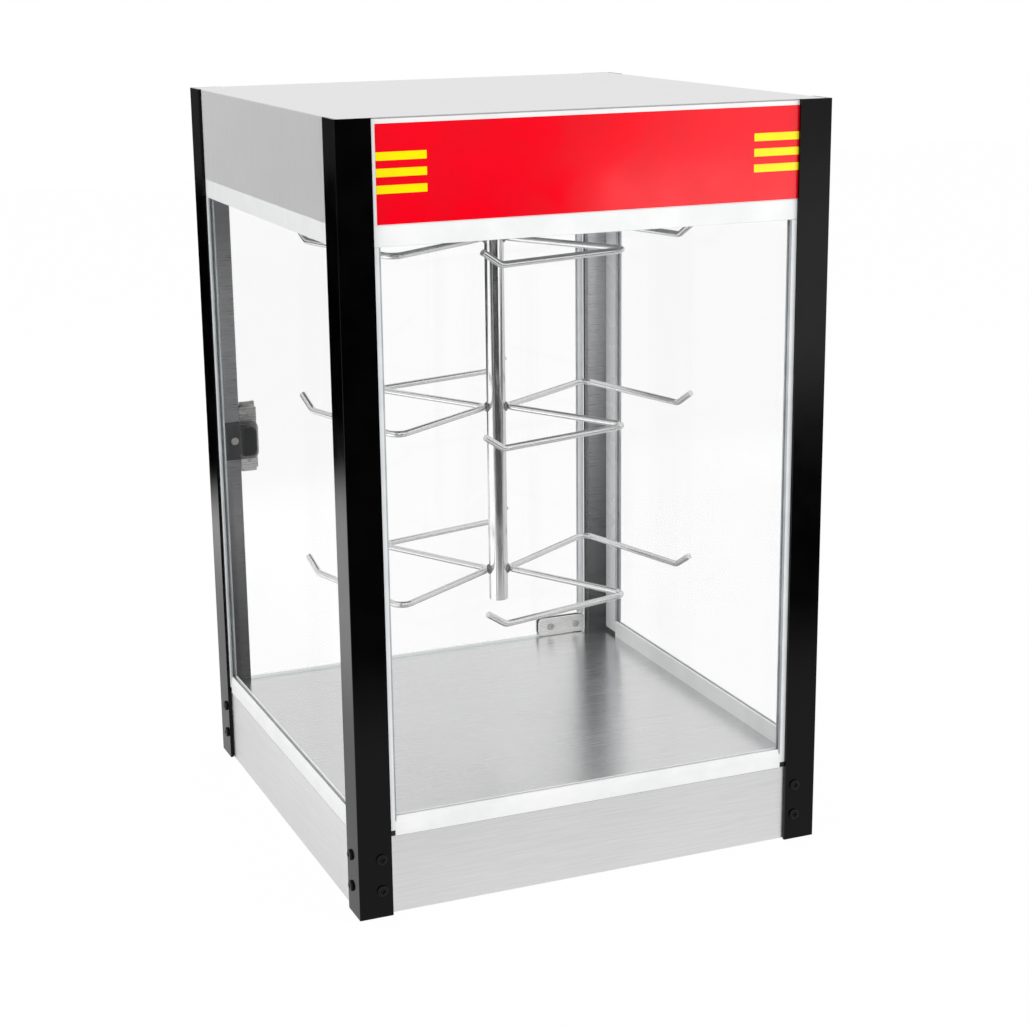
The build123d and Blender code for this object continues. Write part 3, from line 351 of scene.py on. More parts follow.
@dataclass(frozen=True)
class HeatTinted(Finish):
    """Incoloy heater sheath and its straps: steel tinted straw and blue-grey where it runs hot."""

    straw: str = "#8a7a5c"
    blue: str = "#585c66"
    sheen: tuple[float, float] = (0.38, 0.6)
    band: float = 45 * MM

    def dress(self, tree: NodeTree, shader: Node) -> None:
        """Slow noise mixes the two oxide colours and varies the roughness with them."""
        tint = pattern(tree, Grain.NONE, self.band, detail=2.0)
        feed(tree, shader, {
            "Metallic": 1.0,
            "Base Color": blend_colours(tree, spread(tree, tint, 0, 1), self.straw, self.blue),
            "Roughness": spread(tree, tint, *self.sheen),
        })


@dataclass(frozen=True)
class Coating(Finish):
    """Paint, ink or moulded plastic: one colour with a little mottling and a fine skin."""

    colour: str
    mottle: str
    sheen: tuple[float, float]
    peel_spacing: float = 1.6 * MM
    peel_depth: float = 0.01 * MM
    mottle_spacing: float = 40 * MM
    grain: Grain = Grain.NONE
    index: float = 1.5

    def dress(self, tree: NodeTree, shader: Node) -> None:
        """Slow noise mottles colour and roughness, and fine noise lifts the surface."""
        clouds = pattern(tree, Grain.NONE, self.mottle_spacing)
        peel = pattern(tree, self.grain, self.peel_spacing, detail=2.0)
        feed(tree, shader, {
            "IOR": self.index,
            "Base Color": blend_colours(tree, spread(tree, clouds, 0, 1), self.colour, self.mottle),
            "Roughness": spread(tree, clouds, *self.sheen),
            "Normal": bumped(tree, peel, self.peel_depth, strength=0.5),
        })


class PaneFace(Enum):
    """Which way a pane's two large faces point."""

    ACROSS_X = (1.0, 0.0, 0.0)
    ACROSS_Y = (0.0, 1.0, 0.0)


@dataclass(frozen=True)
class FloatGlass(Finish):
    """Flat float glass: nearly unseen face on, and green where its ground edges show its depth.

    Cover is the share of light that meets the glass instead of passing by. The surface counts as
    an edge where its normal's part across the pane is below edge_band.
    """

    faces: PaneFace
    clear: str = "#fbfefd"
    edge: str = "#86b5a6"
    face_cover: float = 0.03
    edge_cover: float = 0.85
    edge_band: tuple[float, float] = (0.4, 0.6)
    index: float = 1.52

    def dress(self, tree: NodeTree, shader: Node) -> None:
        """The normal, in the piece's own axes, tells faces from edges, and shadow rays all pass."""
        shape = add_node(tree, "ShaderNodeTexCoord")
        turned = add_node(tree, "ShaderNodeVectorMath", {
            0: shape.outputs["Normal"], 1: self.faces.value}, operation="DOT_PRODUCT")
        facing = add_node(tree, "ShaderNodeMath", {0: turned.outputs["Value"]}, operation="ABSOLUTE")
        on_face = spread(tree, facing.outputs[0], 0, 1, *self.edge_band)
        rays = add_node(tree, "ShaderNodeLightPath")
        cover = add_node(tree, "ShaderNodeMix", {
            "Factor": on_face, "A": self.edge_cover, "B": self.face_cover})
        lit = add_node(tree, "ShaderNodeMath", {
            0: 1.0, 1: rays.outputs["Is Shadow Ray"]}, operation="SUBTRACT")
        seen = add_node(tree, "ShaderNodeMath", {
            0: cover.outputs["Result"], 1: lit.outputs[0]}, operation="MULTIPLY")
        feed(tree, shader, {
            "Transmission Weight": 1.0,
            "Roughness": 0.0,
            "IOR": self.index,
            "Base Color": blend_colours(tree, on_face, self.edge, self.clear),
            "Alpha": seen.outputs[0],
        })


@dataclass(frozen=True)
class CloudyGlass(Finish):
    """Glass or clear plastic that scatters: a frosted lens, a lamp's coated tube, a smoked plate."""

    colour: str
    roughness: float
    cover: float
    index: float = 1.49
    passing: float = 0.8
    ripple_spacing: float = 3 * MM
    ripple_depth: float = 0.006 * MM

    def dress(self, tree: NodeTree, shader: Node) -> None:
        """Transmission with a set roughness, and fine noise for a moulded skin."""
        ripple = pattern(tree, Grain.NONE, self.ripple_spacing, detail=1.0)
        feed(tree, shader, {
            "Base Color": linear(self.colour),
            "Roughness": self.roughness,
            "Transmission Weight": self.passing,
            "IOR": self.index,
            "Alpha": self.cover,
            "Normal": bumped(tree, ripple, self.ripple_depth, strength=0.4),
        })


# Abrasive-belted 430 stainless sheet: pale, with level lines
SKIRT_STEEL = BrushedMetal("brushed_430_stainless_skirt", "#f6f6f7", "#ebebec", Grain.LEVEL, (0.4, 0.5))
# The same sheet on the header, brushed upright and duller, its colour greyer than the skirt's as painted
# shade
HEADER_STEEL = BrushedMetal("brushed_430_stainless_header", "#ededee", "#e7e7e8", Grain.UPRIGHT,
                            (0.56, 0.64), line_depth=0.006 * MM)
# Deck sheet, brushed across the case and worn smoother by trays
DECK_STEEL = BrushedMetal("brushed_304_stainless_deck", "#e4e4e5", "#dadadb", Grain.ALONG_X,
                          (0.22, 0.28), line_depth=0.006 * MM, handling=0.2)
# Covers inside the rear posts, brushed level, with painted shade darkening them towards the foot
COVER_STEEL = SootedSteel("brushed_stainless_cover", "#c8c8ca", "#b8b8bb", Grain.LEVEL, (0.26, 0.34),
                          line_depth=0.005 * MM, handling=0.2)
# Bright-drawn 304 rod and tube of the rack: nearly a mirror
RACK_STEEL = DrawnTube("bright_drawn_304_rack", "#e6e6e6", "#cfcfcf", Grain.UPRIGHT)
# Weld metal, heat-greyed and rippled
WELD_STEEL = BrushedMetal("tig_weld_stainless", "#a3a09a", "#6f6d6c", Grain.NONE, (0.3, 0.5),
                          1.2 * MM, 0.06 * MM, smearing=0.0)
# Centreless-ground carbon steel of the drive shaft: a soft grey gleam
GROUND_STEEL = DrawnTube("ground_carbon_steel_shaft", "#b9b9b9", "#9d9d9d", Grain.UPRIGHT, (0.22, 0.32))
# Zinc-plated small screws: bright with a faint yellow cast
ZINC_SCREW = BrushedMetal("zinc_plated_screw", "#d2d1cb", "#b4b3ad", Grain.NONE, (0.25, 0.38), 0.7 * MM,
                          smearing=0.0)
# Satin-nickel die castings of the hinges and the door pull: pale and soft
SATIN_NICKEL = BrushedMetal("satin_nickel_hinge", "#f4f4f2", "#e8e8e6", Grain.ALONG_X,
                            (0.24, 0.34), 0.9 * MM, smearing=0.0)
# Hot-dip galvanised pans and bracket: spangled grey
GALVANISED = Spangled("galvanised_sheet")
# Heater and its straps, oxidised: straw and blue-grey
HEATER_SHEATH = HeatTinted("heat_tinted_incoloy")
# Gloss black enamel baked on the posts: a dark mirror with slight orange peel, its index set low
# because the real faces mirror very little
POST_ENAMEL = Coating("gloss_black_baked_enamel", "#010101", "#030303", (0.1, 0.16), 4 * MM,
                      0.004 * MM, index=1.26)
# Black oxide pan-head screws, oiled: nearly as dark as the posts and a little rougher
SCREW_OXIDE = Coating("black_oxide_screw", "#020203", "#060607", (0.24, 0.36), 0.9 * MM,
                      0.02 * MM, index=1.32)
# White polyester powder coat on the extruded rails: smooth satin
RAIL_POWDER = Coating("white_powder_coat_rail", "#f4f5f4", "#eceeee", (0.3, 0.4), 1.8 * MM, 0.012 * MM)
# Extruded rigid PVC glazing channel: glossier, with drag lines from the die
CHANNEL_PVC = Coating("white_rigid_pvc_channel", "#f1f3f4", "#e6e9eb", (0.24, 0.34), 1.0 * MM, 0.03 * MM,
                      grain=Grain.UPRIGHT)
# Softer grey PVC of the glazing lips
LIP_PVC = Coating("grey_flexible_pvc_lip", "#b9bdbf", "#a3a8ab", (0.4, 0.5), 1.0 * MM, 0.02 * MM,
                  grain=Grain.UPRIGHT)
# Moulded neoprene setting blocks: dull black
BLOCK_RUBBER = Coating("black_neoprene_block", "#141414", "#232323", (0.6, 0.75), 1.2 * MM, 0.05 * MM)
# Opal acrylic of the sign's face: milky white with a gloss
SIGN_ACRYLIC = Coating("opal_acrylic_sign", "#f3f3f2", "#ececeb", (0.08, 0.14), 6 * MM, 0.004 * MM)
# Cast vinyl films on the sign: full colours with a gloss
SIGN_RED = Coating("red_cast_vinyl_film", "#f7001c", "#ee001a", (0.07, 0.12), 5 * MM, 0.004 * MM)
SIGN_YELLOW = Coating("yellow_cast_vinyl_film", "#fff000", "#f8e600", (0.07, 0.12), 5 * MM, 0.004 * MM)
# Unglazed steatite of the lamp holders and terminal blocks: chalky, warm white
LAMP_CERAMIC = Coating("white_steatite", "#ded9cf", "#cfc9bd", (0.45, 0.6), 1.0 * MM, 0.04 * MM)
# Hammer enamel on the motor's case: dimpled grey
MOTOR_ENAMEL = Coating("grey_hammer_enamel", "#5f656b", "#484d53", (0.3, 0.45), 3 * MM, 0.12 * MM)
# Filled nylon bushings: dry satin black
BUSH_NYLON = Coating("black_filled_nylon", "#161616", "#232323", (0.45, 0.6), 1.1 * MM, 0.03 * MM)
# Black phenolic and ABS mouldings: spark-eroded satin texture
MOULDED_BLACK = Coating("black_abs_moulding", "#121214", "#1d1d20", (0.42, 0.55), 0.9 * MM, 0.04 * MM)
# The rockers, from a polished mould: gloss black
ROCKER_BLACK = Coating("gloss_black_abs_rocker", "#0b0b0c", "#141416", (0.14, 0.2), 3 * MM, 0.01 * MM)
# Extruded PVC of the riser cable: satin black
CABLE_JACKET = Coating("black_pvc_jacket", "#101011", "#1c1c1e", (0.38, 0.5), 1.0 * MM, 0.03 * MM)
# Pad-printed epoxy inks: thin and satin
PRINT_WHITE = Coating("white_epoxy_ink", "#eceae4", "#d9d7d1", (0.4, 0.5), 1.0 * MM, 0.01 * MM)
PRINT_BLACK = Coating("black_epoxy_ink", "#151515", "#202020", (0.4, 0.5), 1.0 * MM, 0.01 * MM)
# Float glass of the fixed panes: clear, and green at its edges
FRONT_GLASS = FloatGlass("float_glass_front", PaneFace.ACROSS_Y)
SIDE_GLASS = FloatGlass("float_glass_side", PaneFace.ACROSS_X)
# Frosted lens and coated lamp tube, which hide what is behind, and the smoky catch plate
LENS_ACRYLIC = CloudyGlass("frosted_acrylic_lens", "#f2f2ee", 0.45, 0.9)
LAMP_TUBE = CloudyGlass("coated_lamp_glass", "#f6f4ec", 0.5, 0.95)
SMOKED_PLATE = CloudyGlass("smoked_polycarbonate", "#6c6c6f", 0.08, 0.62)


@dataclass
class Shell:
    """A closed surface: its points in metres and the corner numbers of its faces."""

    points: np.ndarray
    faces: list[list[int]]


def carried(profile: np.ndarray, path: np.ndarray, across: np.ndarray, upwards: np.ndarray,
            scales: np.ndarray | None = None) -> Shell:
    """Closed profile carried along a path, with a flat face over each end.

    Point (i, j) is path point i, plus the profile's first coordinate j times the across
    direction, plus its second times the upwards direction, both times the scale at i.

    Args:
        profile: n by 2 corners of the closed profile.
        path: m by 3 places that the profile is carried through.
        across: direction of the profile's first axis, one for all places or m by 3.
        upwards: direction of its second axis, likewise.
        scales: m sizes of the profile, all 1 if left out.

    Returns:
        The surface, with m rings of n points.
    """
    rings, corners = len(path), len(profile)
    sizes = np.ones(rings) if scales is None else scales
    across, upwards = np.broadcast_to(across, path.shape), np.broadcast_to(upwards, path.shape)
    offsets = (profile[None, :, :1] * across[:, None, :] + profile[None, :, 1:] * upwards[:, None, :])
    points = (path[:, None, :] + sizes[:, None, None] * offsets).reshape(-1, 3)
    ring, corner = np.meshgrid(np.arange(rings - 1), np.arange(corners), indexing="ij")
    after = (corner + 1) % corners
    start, end = ring * corners, (ring + 1) * corners
    quads = np.stack([start + corner, start + after, end + after, end + corner], axis=-1)
    caps = [list(range(corners))[::-1], list(range((rings - 1) * corners, rings * corners))]
    return Shell(points, quads.reshape(-1, 4).tolist() + caps)


def round_corners(width: float, height: float, radius: float, steps: int = 5) -> np.ndarray:
    """Outline of a rectangle with round corners, centred on 0.

    Each corner is a quarter circle about a centre one radius inside both sides.

    Args:
        width: its size along the first axis.
        height: its size along the second axis.
        radius: radius of its corners.
        steps: points on each corner.

    Returns:
        n by 2 points of the closed outline.
    """
    turn = np.linspace(0, np.pi / 2, steps)
    corner = np.arange(4)[:, None]
    angle = turn[None, :] + corner * np.pi / 2
    centre_x = (width / 2 - radius) * np.array([1, -1, -1, 1])[:, None]
    centre_y = (height / 2 - radius) * np.array([1, 1, -1, -1])[:, None]
    points = [centre_x + radius * np.cos(angle), centre_y + radius * np.sin(angle)]
    return np.stack(points, axis=-1).reshape(-1, 2)


def circle(radius: float, steps: int) -> np.ndarray:
    """Outline of a circle: radius times the cosine and sine of evenly spaced angles."""
    angle = np.arange(steps) * 2 * np.pi / steps
    return radius * np.stack([np.cos(angle), np.sin(angle)], axis=-1)


def add_piece(name: str, mesh: Mesh, finish: Material, body: Body) -> None:
    """Puts a mesh into the scene as a piece that rides on a body.

    Args:
        name: piece name.
        mesh: its surface, with its place in it.
        finish: its material.
        body: body that it moves with.
    """
    piece = bpy.data.objects.new(name, mesh)
    bpy.context.scene.collection.objects.link(piece)
    mesh.materials.clear()
    mesh.materials.append(finish)
    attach(piece, body.value)
    LOG.info("piece %s: %d faces on %s", name, len(mesh.polygons), body.value)


def make_piece(name: str, shells: list[Shell], finish: Material, body: Body,
               smooth: bool = False) -> None:
    """Writes shells into one mesh with outward faces, and adds it as a piece.

    Args:
        name: piece name.
        shells: its closed surfaces.
        finish: its material.
        body: body that it moves with.
        smooth: shade its faces smooth.
    """
    starts = np.cumsum([0] + [len(shell.points) for shell in shells])
    points = np.concatenate([shell.points for shell in shells])
    faces = [[corner + int(start) for corner in face]
             for shell, start in zip(shells, starts) for face in shell.faces]
    mesh = bpy.data.meshes.new(name)
    mesh.from_pydata(points.tolist(), [], faces)
    surface = bmesh.new()
    surface.from_mesh(mesh)
    bmesh.ops.recalc_face_normals(surface, faces=surface.faces)
    surface.to_mesh(mesh)
    surface.free()
    mesh.polygons.foreach_set("use_smooth", np.full(len(mesh.polygons), smooth))
    add_piece(name, mesh, finish, body)


@dataclass
class Assembly(ABC):
    """A sub-assembly: it builds its own new pieces and dresses its CAD nodes.

    pivots gives, for each moving body, the place of the joint that carries it.
    """

    nodes: dict[str, Object]
    pivots: dict[str, Vector]

    @abstractmethod
    def finishes(self) -> dict[Finish, tuple[str, ...]]:
        """Which CAD nodes take each finish."""

    def build(self) -> None:
        """Builds the pieces that the CAD model leaves to this script."""

    def dress(self) -> None:
        """Puts each finish on its CAD nodes."""
        for finish, names in self.finishes().items():
            material = finish.build()
            for name in names:
                slots = self.nodes[name].material_slots
                if not slots:
                    self.nodes[name].data.materials.append(material)
                for slot in slots:
                    slot.link = "OBJECT"
                    slot.material = material
            LOG.info("finish %s on %s", finish.name, ", ".join(names))


@dataclass
class Carcass(Assembly):
    """Posts, skirts, deck, covers of the wiring, and the screws that hold them."""

    def finishes(self) -> dict[Finish, tuple[str, ...]]:
        """Enamel posts, brushed sheet and black screws."""
        return {
            POST_ENAMEL: ("post_front_left", "post_front_right", "post_rear_left", "post_rear_right"),
            SCREW_OXIDE: ("post_screws_and_nuts",),
            SKIRT_STEEL: ("front_skirt", "left_skirt", "right_skirt", "rear_skirt", "header_rear_panel"),
            DECK_STEEL: ("deck",),
            GALVANISED: ("base_pan", "ceiling_pan", "motor_bracket"),
            COVER_STEEL: ("wire_cover_left", "wire_cover_right"),
            ZINC_SCREW: ("panel_screws",),
        }


@dataclass
class Glazing(Assembly):
    """Rails, upright channels with their lips, and the three fixed panes."""

    lip_radius: float = 0.9 * MM
    lip_steps: int = 16
    lip_lift: float = 0.5 * MM
    slot_half: float = 1.65 * MM
    mouth_inset: float = 9.8 * MM

    def finishes(self) -> dict[Finish, tuple[str, ...]]:
        """Powder-coated rails, PVC channels, rubber blocks and glass."""
        return {
            RAIL_POWDER: ("front_bottom_rail", "left_bottom_rail", "right_bottom_rail", "front_top_rail",
                          "left_top_rail", "right_top_rail", "door_head"),
            CHANNEL_PVC: ("glazing_channels",),
            BLOCK_RUBBER: ("setting_blocks",),
            FRONT_GLASS: ("front_glass",),
            SIDE_GLASS: ("left_glass", "right_glass"),
        }

    def build(self) -> None:
        """Two soft lips grip the glass at each channel's mouth, one on each face of the pane.

        Each is a circle carried straight up, mouth_inset in from the pane's own edge.
        """
        low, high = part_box("glazing_channels")
        foot, head = low.z, high.z
        lift = self.slot_half + self.lip_lift
        shells = []
        for pane in ("front_glass", "left_glass", "right_glass"):
            corner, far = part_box(pane)
            along = Vector((1, 0, 0)) if pane == "front_glass" else Vector((0, 1, 0))
            outward = Vector((0, 1, 0)) if pane == "front_glass" else Vector((1, 0, 0))
            middle = (corner + far) / 2
            reach = (far - corner).dot(along) / 2 - self.mouth_inset
            for hand in (-1, 1):
                for face in (-1, 1):
                    place = middle + along * hand * reach + outward * face * lift
                    path = np.array([[place.x, place.y, foot], [place.x, place.y, head]])
                    shells.append(carried(circle(self.lip_radius, self.lip_steps), path,
                                          np.array(along), np.array(outward)))
        make_piece("glazing_lips", shells, LIP_PVC.build(), Body.CABINET, smooth=True)


@dataclass
class Header(Assembly):
    """Header shell and its sign, with a red film and yellow stripes."""

    film: float = 0.15 * MM
    border: float = 4.0 * MM
    border_foot: float = 0.6 * MM
    field_corner: float = 0.6 * MM
    stripe_heights: tuple[float, ...] = (655.5 * MM, 669.4 * MM, 683.0 * MM)
    stripe_height: float = 7.0 * MM
    stripe_length: float = 45.4 * MM

    def finishes(self) -> dict[Finish, tuple[str, ...]]:
        """Brushed shell and opal sign."""
        return {HEADER_STEEL: ("header_shell",), SIGN_ACRYLIC: ("sign_panel",)}

    def build(self) -> None:
        """Lays the red film on the sign's face, and the stripes on the film at both its ends.

        The film starts a border's width from the left post and the top, and meets the right post.
        """
        low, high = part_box("sign_panel")
        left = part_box("post_front_left")[1].x + self.border
        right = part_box("post_front_right")[0].x
        field = (left, right, low.z + self.border_foot, high.z - self.border)
        red = self.plate(field, low.y, self.film)
        make_piece("sign_field", [red], SIGN_RED.build(), Body.CABINET)
        stripes = []
        for height in self.stripe_heights:
            span = (height - self.stripe_height / 2, height + self.stripe_height / 2)
            for ends in ((left, left + self.stripe_length), (right - self.stripe_length, right)):
                stripes.append(self.plate((*ends, *span), low.y - self.film, self.film / 2))
        make_piece("sign_stripes", stripes, SIGN_YELLOW.build(), Body.CABINET)

    def plate(self, span: tuple[float, float, float, float], back: float, thickness: float) -> Shell:
        """Thin film on a plane that faces -Y: a round-cornered rectangle carried forwards.

        Args:
            span: its left, right, foot and head.
            back: Y of the surface that it lies on.
            thickness: how far it stands forwards.

        Returns:
            The film's surface.
        """
        left, right, foot, head = span
        outline = round_corners(right - left, head - foot, self.field_corner)
        centre = np.array([(left + right) / 2, 0.0, (foot + head) / 2])
        path = centre + np.array([[0, back, 0], [0, back - thickness, 0]])
        return carried(outline, path, np.array([1, 0, 0]), np.array([0, 0, 1]))


@dataclass
class Rack(Assembly):
    """Turning shaft with three tiers of bent-wire hangers, welded on at their hubs."""

    shaft_radius: float = 9.525 * MM
    wire_radius: float = 3.1 * MM
    hub_turn: float = np.radians(-13.7)
    bead_half: tuple[float, float] = (7.0 * MM, 4.6 * MM)
    bead_swell: float = 2.9 * MM
    bead_ripple: float = 0.25 * MM
    bead_sink: float = 0.3 * MM
    bead_end: float = 0.999
    ripple_count: int = 9
    rings: int = 40
    corners: int = 20

    def finishes(self) -> dict[Finish, tuple[str, ...]]:
        """Bright-drawn rack on a ground drive shaft."""
        return {
            RACK_STEEL: ("rack_shaft", "hanger_lower", "hanger_middle", "hanger_upper"),
            GROUND_STEEL: ("drive_shaft",),
        }

    def build(self) -> None:
        """A weld bead stands where each hanger wire meets the shaft."""
        shells = []
        for tier in ("hanger_lower", "hanger_middle", "hanger_upper"):
            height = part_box(tier)[0].z + self.wire_radius
            for turn in (0, np.pi):
                shells.append(self.bead(self.hub_turn + turn, height))
        make_piece("hub_welds", shells, WELD_STEEL.build(), Body.RACK, smooth=True)

    def bead(self, turn: float, height: float) -> Shell:
        """One weld bead, wrapped round the shaft at a hub.

        Along the bead the share t runs nearly from -1 to 1, up to bead_end, so that its end faces
        don't shrink to a point. Its centre turns about the shaft by t times the half length over
        the shaft's radius, and its section is an ellipse whose size is the square root of 1 - t
        squared, with a small cosine ripple.

        Args:
            turn: angle of its middle about the shaft, from +X towards +Y.
            height: Z of its middle.

        Returns:
            The bead's surface.
        """
        share = np.linspace(-self.bead_end, self.bead_end, self.rings)
        angle = turn + share * self.bead_half[0] / self.shaft_radius
        outward = np.stack([np.cos(angle), np.sin(angle), np.zeros_like(angle)], axis=-1)
        path = outward * (self.shaft_radius - self.bead_sink) + np.array([0, 0, height])
        ripple = 1 + self.bead_ripple / self.bead_swell * np.cos(share * self.ripple_count * np.pi)
        sizes = np.sqrt(1 - share ** 2) * ripple
        profile = circle(1.0, self.corners) * np.array([self.bead_swell, self.bead_half[1]])
        return carried(profile, path, outward, np.array([0, 0, 1]), sizes)


@dataclass
class Controls(Assembly):
    """Thermostat, switches, inlet and their printed marks on the rear skirt.

    mark_outer holds the outer radius of the dial's short and long marks. A rocker is lowest at
    its waist and rises to a tip at each end, both measured from its pivot.
    """

    ink: float = 0.06 * MM
    mark_count: int = 11
    mark_inner: float = 18.6 * MM
    mark_outer: tuple[float, float] = (21.4 * MM, 23.0 * MM)
    mark_width: float = 0.7 * MM
    bar_corner: float = 0.2
    sweep: float = np.radians(270)
    pointer_reach: tuple[float, float] = (2.0 * MM, 9.5 * MM)
    pointer_width: float = 1.3 * MM
    pointer_recess: float = 0.9 * MM
    numeral_height: float = 4.6 * MM
    numeral_reach: float = 26.2 * MM
    numerals: int = 6
    rocker_tilt: float = np.radians(8.0)
    rocker_half: float = 9.2 * MM
    rocker_waist: float = 6.8 * MM
    rocker_tip: float = 9.0 * MM
    on_bar: tuple[float, float, float] = (0.9 * MM, 3.6 * MM, 0.2 * MM)
    off_dot: float = 1.7 * MM
    off_steps: int = 20
    mark_sink: float = 0.02 * MM

    def finishes(self) -> dict[Finish, tuple[str, ...]]:
        """Black mouldings and gloss rockers."""
        return {
            MOULDED_BLACK: ("thermostat", "thermostat_knob", "switch_bodies", "power_inlet"),
            ROCKER_BLACK: ("lamp_rocker", "heat_rocker"),
        }

    def build(self) -> None:
        """Prints the dial's marks and numerals, the knob's pointer and the rockers' marks."""
        low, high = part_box("thermostat_knob")
        centre = (low + high) / 2
        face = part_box("rear_skirt")[1].y
        ink = PRINT_BLACK.build()
        white = PRINT_WHITE.build()
        marks = []
        for index, turn in enumerate(np.linspace(0, self.sweep, self.mark_count)):
            reach = (self.mark_inner, self.mark_outer[index % 2 == 0])
            marks.append(self.bar(centre, turn, reach, self.mark_width, face))
        make_piece("dial_marks", marks, ink, Body.CABINET)
        for index in range(self.numerals):
            turn = self.sweep * index / (self.numerals - 1)
            self.numeral(str(index), centre, turn, face, ink)
        recess = high.y - self.pointer_recess
        pointer = self.bar(centre, 0.0, self.pointer_reach, self.pointer_width, recess)
        make_piece("knob_pointer", [pointer], white, Body.KNOB)
        for node, body in (("lamp_rocker", Body.LAMP_SWITCH), ("heat_rocker", Body.HEAT_SWITCH)):
            self.rocker_marks(node, body, white)

    def bar(self, centre: Vector, turn: float, reach: tuple[float, float], width: float, face: float
            ) -> Shell:
        """Radial printed bar on a plane that faces +Y: a round-cornered rectangle carried outwards.

        Args:
            centre: middle of the dial.
            turn: angle of its ray from straight up.
            reach: its inner and outer radius.
            width: its width across the ray.
            face: Y of the surface that it lies on.

        Returns:
            The bar's surface.
        """
        inner, outer = reach
        ray = np.array([-np.sin(turn), 0.0, np.cos(turn)])
        side = np.array([np.cos(turn), 0.0, np.sin(turn)])
        middle = np.array([centre.x, 0.0, centre.z]) + ray * (inner + outer) / 2
        path = middle + np.array([[0, face, 0], [0, face + self.ink, 0]])
        outline = round_corners(width, outer - inner, width * self.bar_corner, 3)
        return carried(outline, path, side, ray)

    def numeral(self, text: str, centre: Vector, turn: float, face: float, ink: Material) -> None:
        """Prints one numeral of the dial, upright, beyond the marks.

        Args:
            text: the numeral.
            centre: middle of the dial.
            turn: angle of its ray, as in bar.
            face: Y of the surface that it lies on.
            ink: its material.
        """
        curve = bpy.data.curves.new("numeral_" + text, "FONT")
        curve.body = text
        curve.align_x, curve.align_y = "CENTER", "CENTER"
        curve.size = self.numeral_height
        curve.extrude = self.ink / 2
        holder = bpy.data.objects.new("numeral_source", curve)
        mesh = bpy.data.meshes.new_from_object(holder)
        bpy.data.objects.remove(holder)
        x = centre.x - self.numeral_reach * np.sin(turn)
        y = face + self.ink / 2
        z = centre.z + self.numeral_reach * np.cos(turn)
        facing_rear = Matrix(((-1, 0, 0, x), (0, 0, 1, y), (0, 1, 0, z), (0, 0, 0, 1)))
        mesh.transform(facing_rear)
        add_piece("dial_numeral_" + text, mesh, ink, Body.CABINET)

    def rocker_marks(self, node: str, body: Body, ink: Material) -> None:
        """Prints the bar of ON and the dot of OFF on the middle of a rocker's two halves.

        The rocker rests tilted about its pivot. Each mark is an outline carried along the normal
        of its half, which leans by the angle whose tangent is the half's rise over its length.

        Args:
            node: the rocker's CAD node.
            body: body that it moves with.
            ink: material of its marks.
        """
        outward = np.array([0.0, np.cos(self.rocker_tilt), np.sin(self.rocker_tilt)])
        upward = np.array([0.0, -np.sin(self.rocker_tilt), np.cos(self.rocker_tilt)])
        pivot = np.array(self.pivots[body.value])
        lean = np.arctan2(self.rocker_tip - self.rocker_waist, self.rocker_half)
        height = (self.rocker_waist + self.rocker_tip) / 2
        outlines = (round_corners(*self.on_bar, 3), circle(self.off_dot, self.off_steps))
        shells = []
        for hand, outline in zip((1, -1), outlines):
            normal = outward * np.cos(lean) - hand * upward * np.sin(lean)
            rise = upward * np.cos(lean) + hand * outward * np.sin(lean)
            place = pivot + outward * height + hand * upward * self.rocker_half / 2
            path = place + np.outer([-self.mark_sink, self.ink], normal)
            shells.append(carried(outline, path, np.array([1.0, 0.0, 0.0]), rise))
        make_piece(node + "_marks", shells, ink, body)


@dataclass
class Door(Assembly):
    """Rear door: pane, pivot hinges, edge trim, pull and the catch on the post."""

    def finishes(self) -> dict[Finish, tuple[str, ...]]:
        """Glass with satin metal and a smoked catch plate."""
        return {
            FloatGlass("tempered_glass_door", PaneFace.ACROSS_Y): ("door_pane",),
            SATIN_NICKEL: ("door_hinge_lower", "door_hinge_upper", "door_pull"),
            CHANNEL_PVC: ("door_edge_trim",),
            ZINC_SCREW: ("door_screws",),
            BUSH_NYLON: ("hinge_bushings",),
            SMOKED_PLATE: ("catch_plate",),
            MOULDED_BLACK: ("catch_magnet",),
        }


@dataclass
class Works(Assembly):
    """What the header and the base hold: lamp, motor, heater and wiring."""

    def finishes(self) -> dict[Finish, tuple[str, ...]]:
        """Lamp glass, ceramic, hammered enamel, heat-tinted sheath and cable."""
        return {
            LENS_ACRYLIC: ("lamp_lens",),
            LAMP_TUBE: ("lamp_tube",),
            LAMP_CERAMIC: ("lamp_holders", "terminal_blocks"),
            MOTOR_ENAMEL: ("gear_motor",),
            BUSH_NYLON: ("rack_bushing",),
            HEATER_SHEATH: ("heater_element", "heater_straps"),
            CABLE_JACKET: ("riser_cable",),
        }


@dataclass(frozen=True)
class Softbox:
    """A square soft lamp: its name, its place, its side in metres and its power in watts."""

    name: str
    place: tuple[float, float, float]
    side: float
    power: float


@dataclass(frozen=True)
class Flag:
    """A dark board on the horizon, seen in reflections alone. Its angles are in degrees.

    It hides what lies within half of its heading, which turns from +Y towards +X, and fades out
    over edge.
    """

    heading: float
    half: float
    edge: float


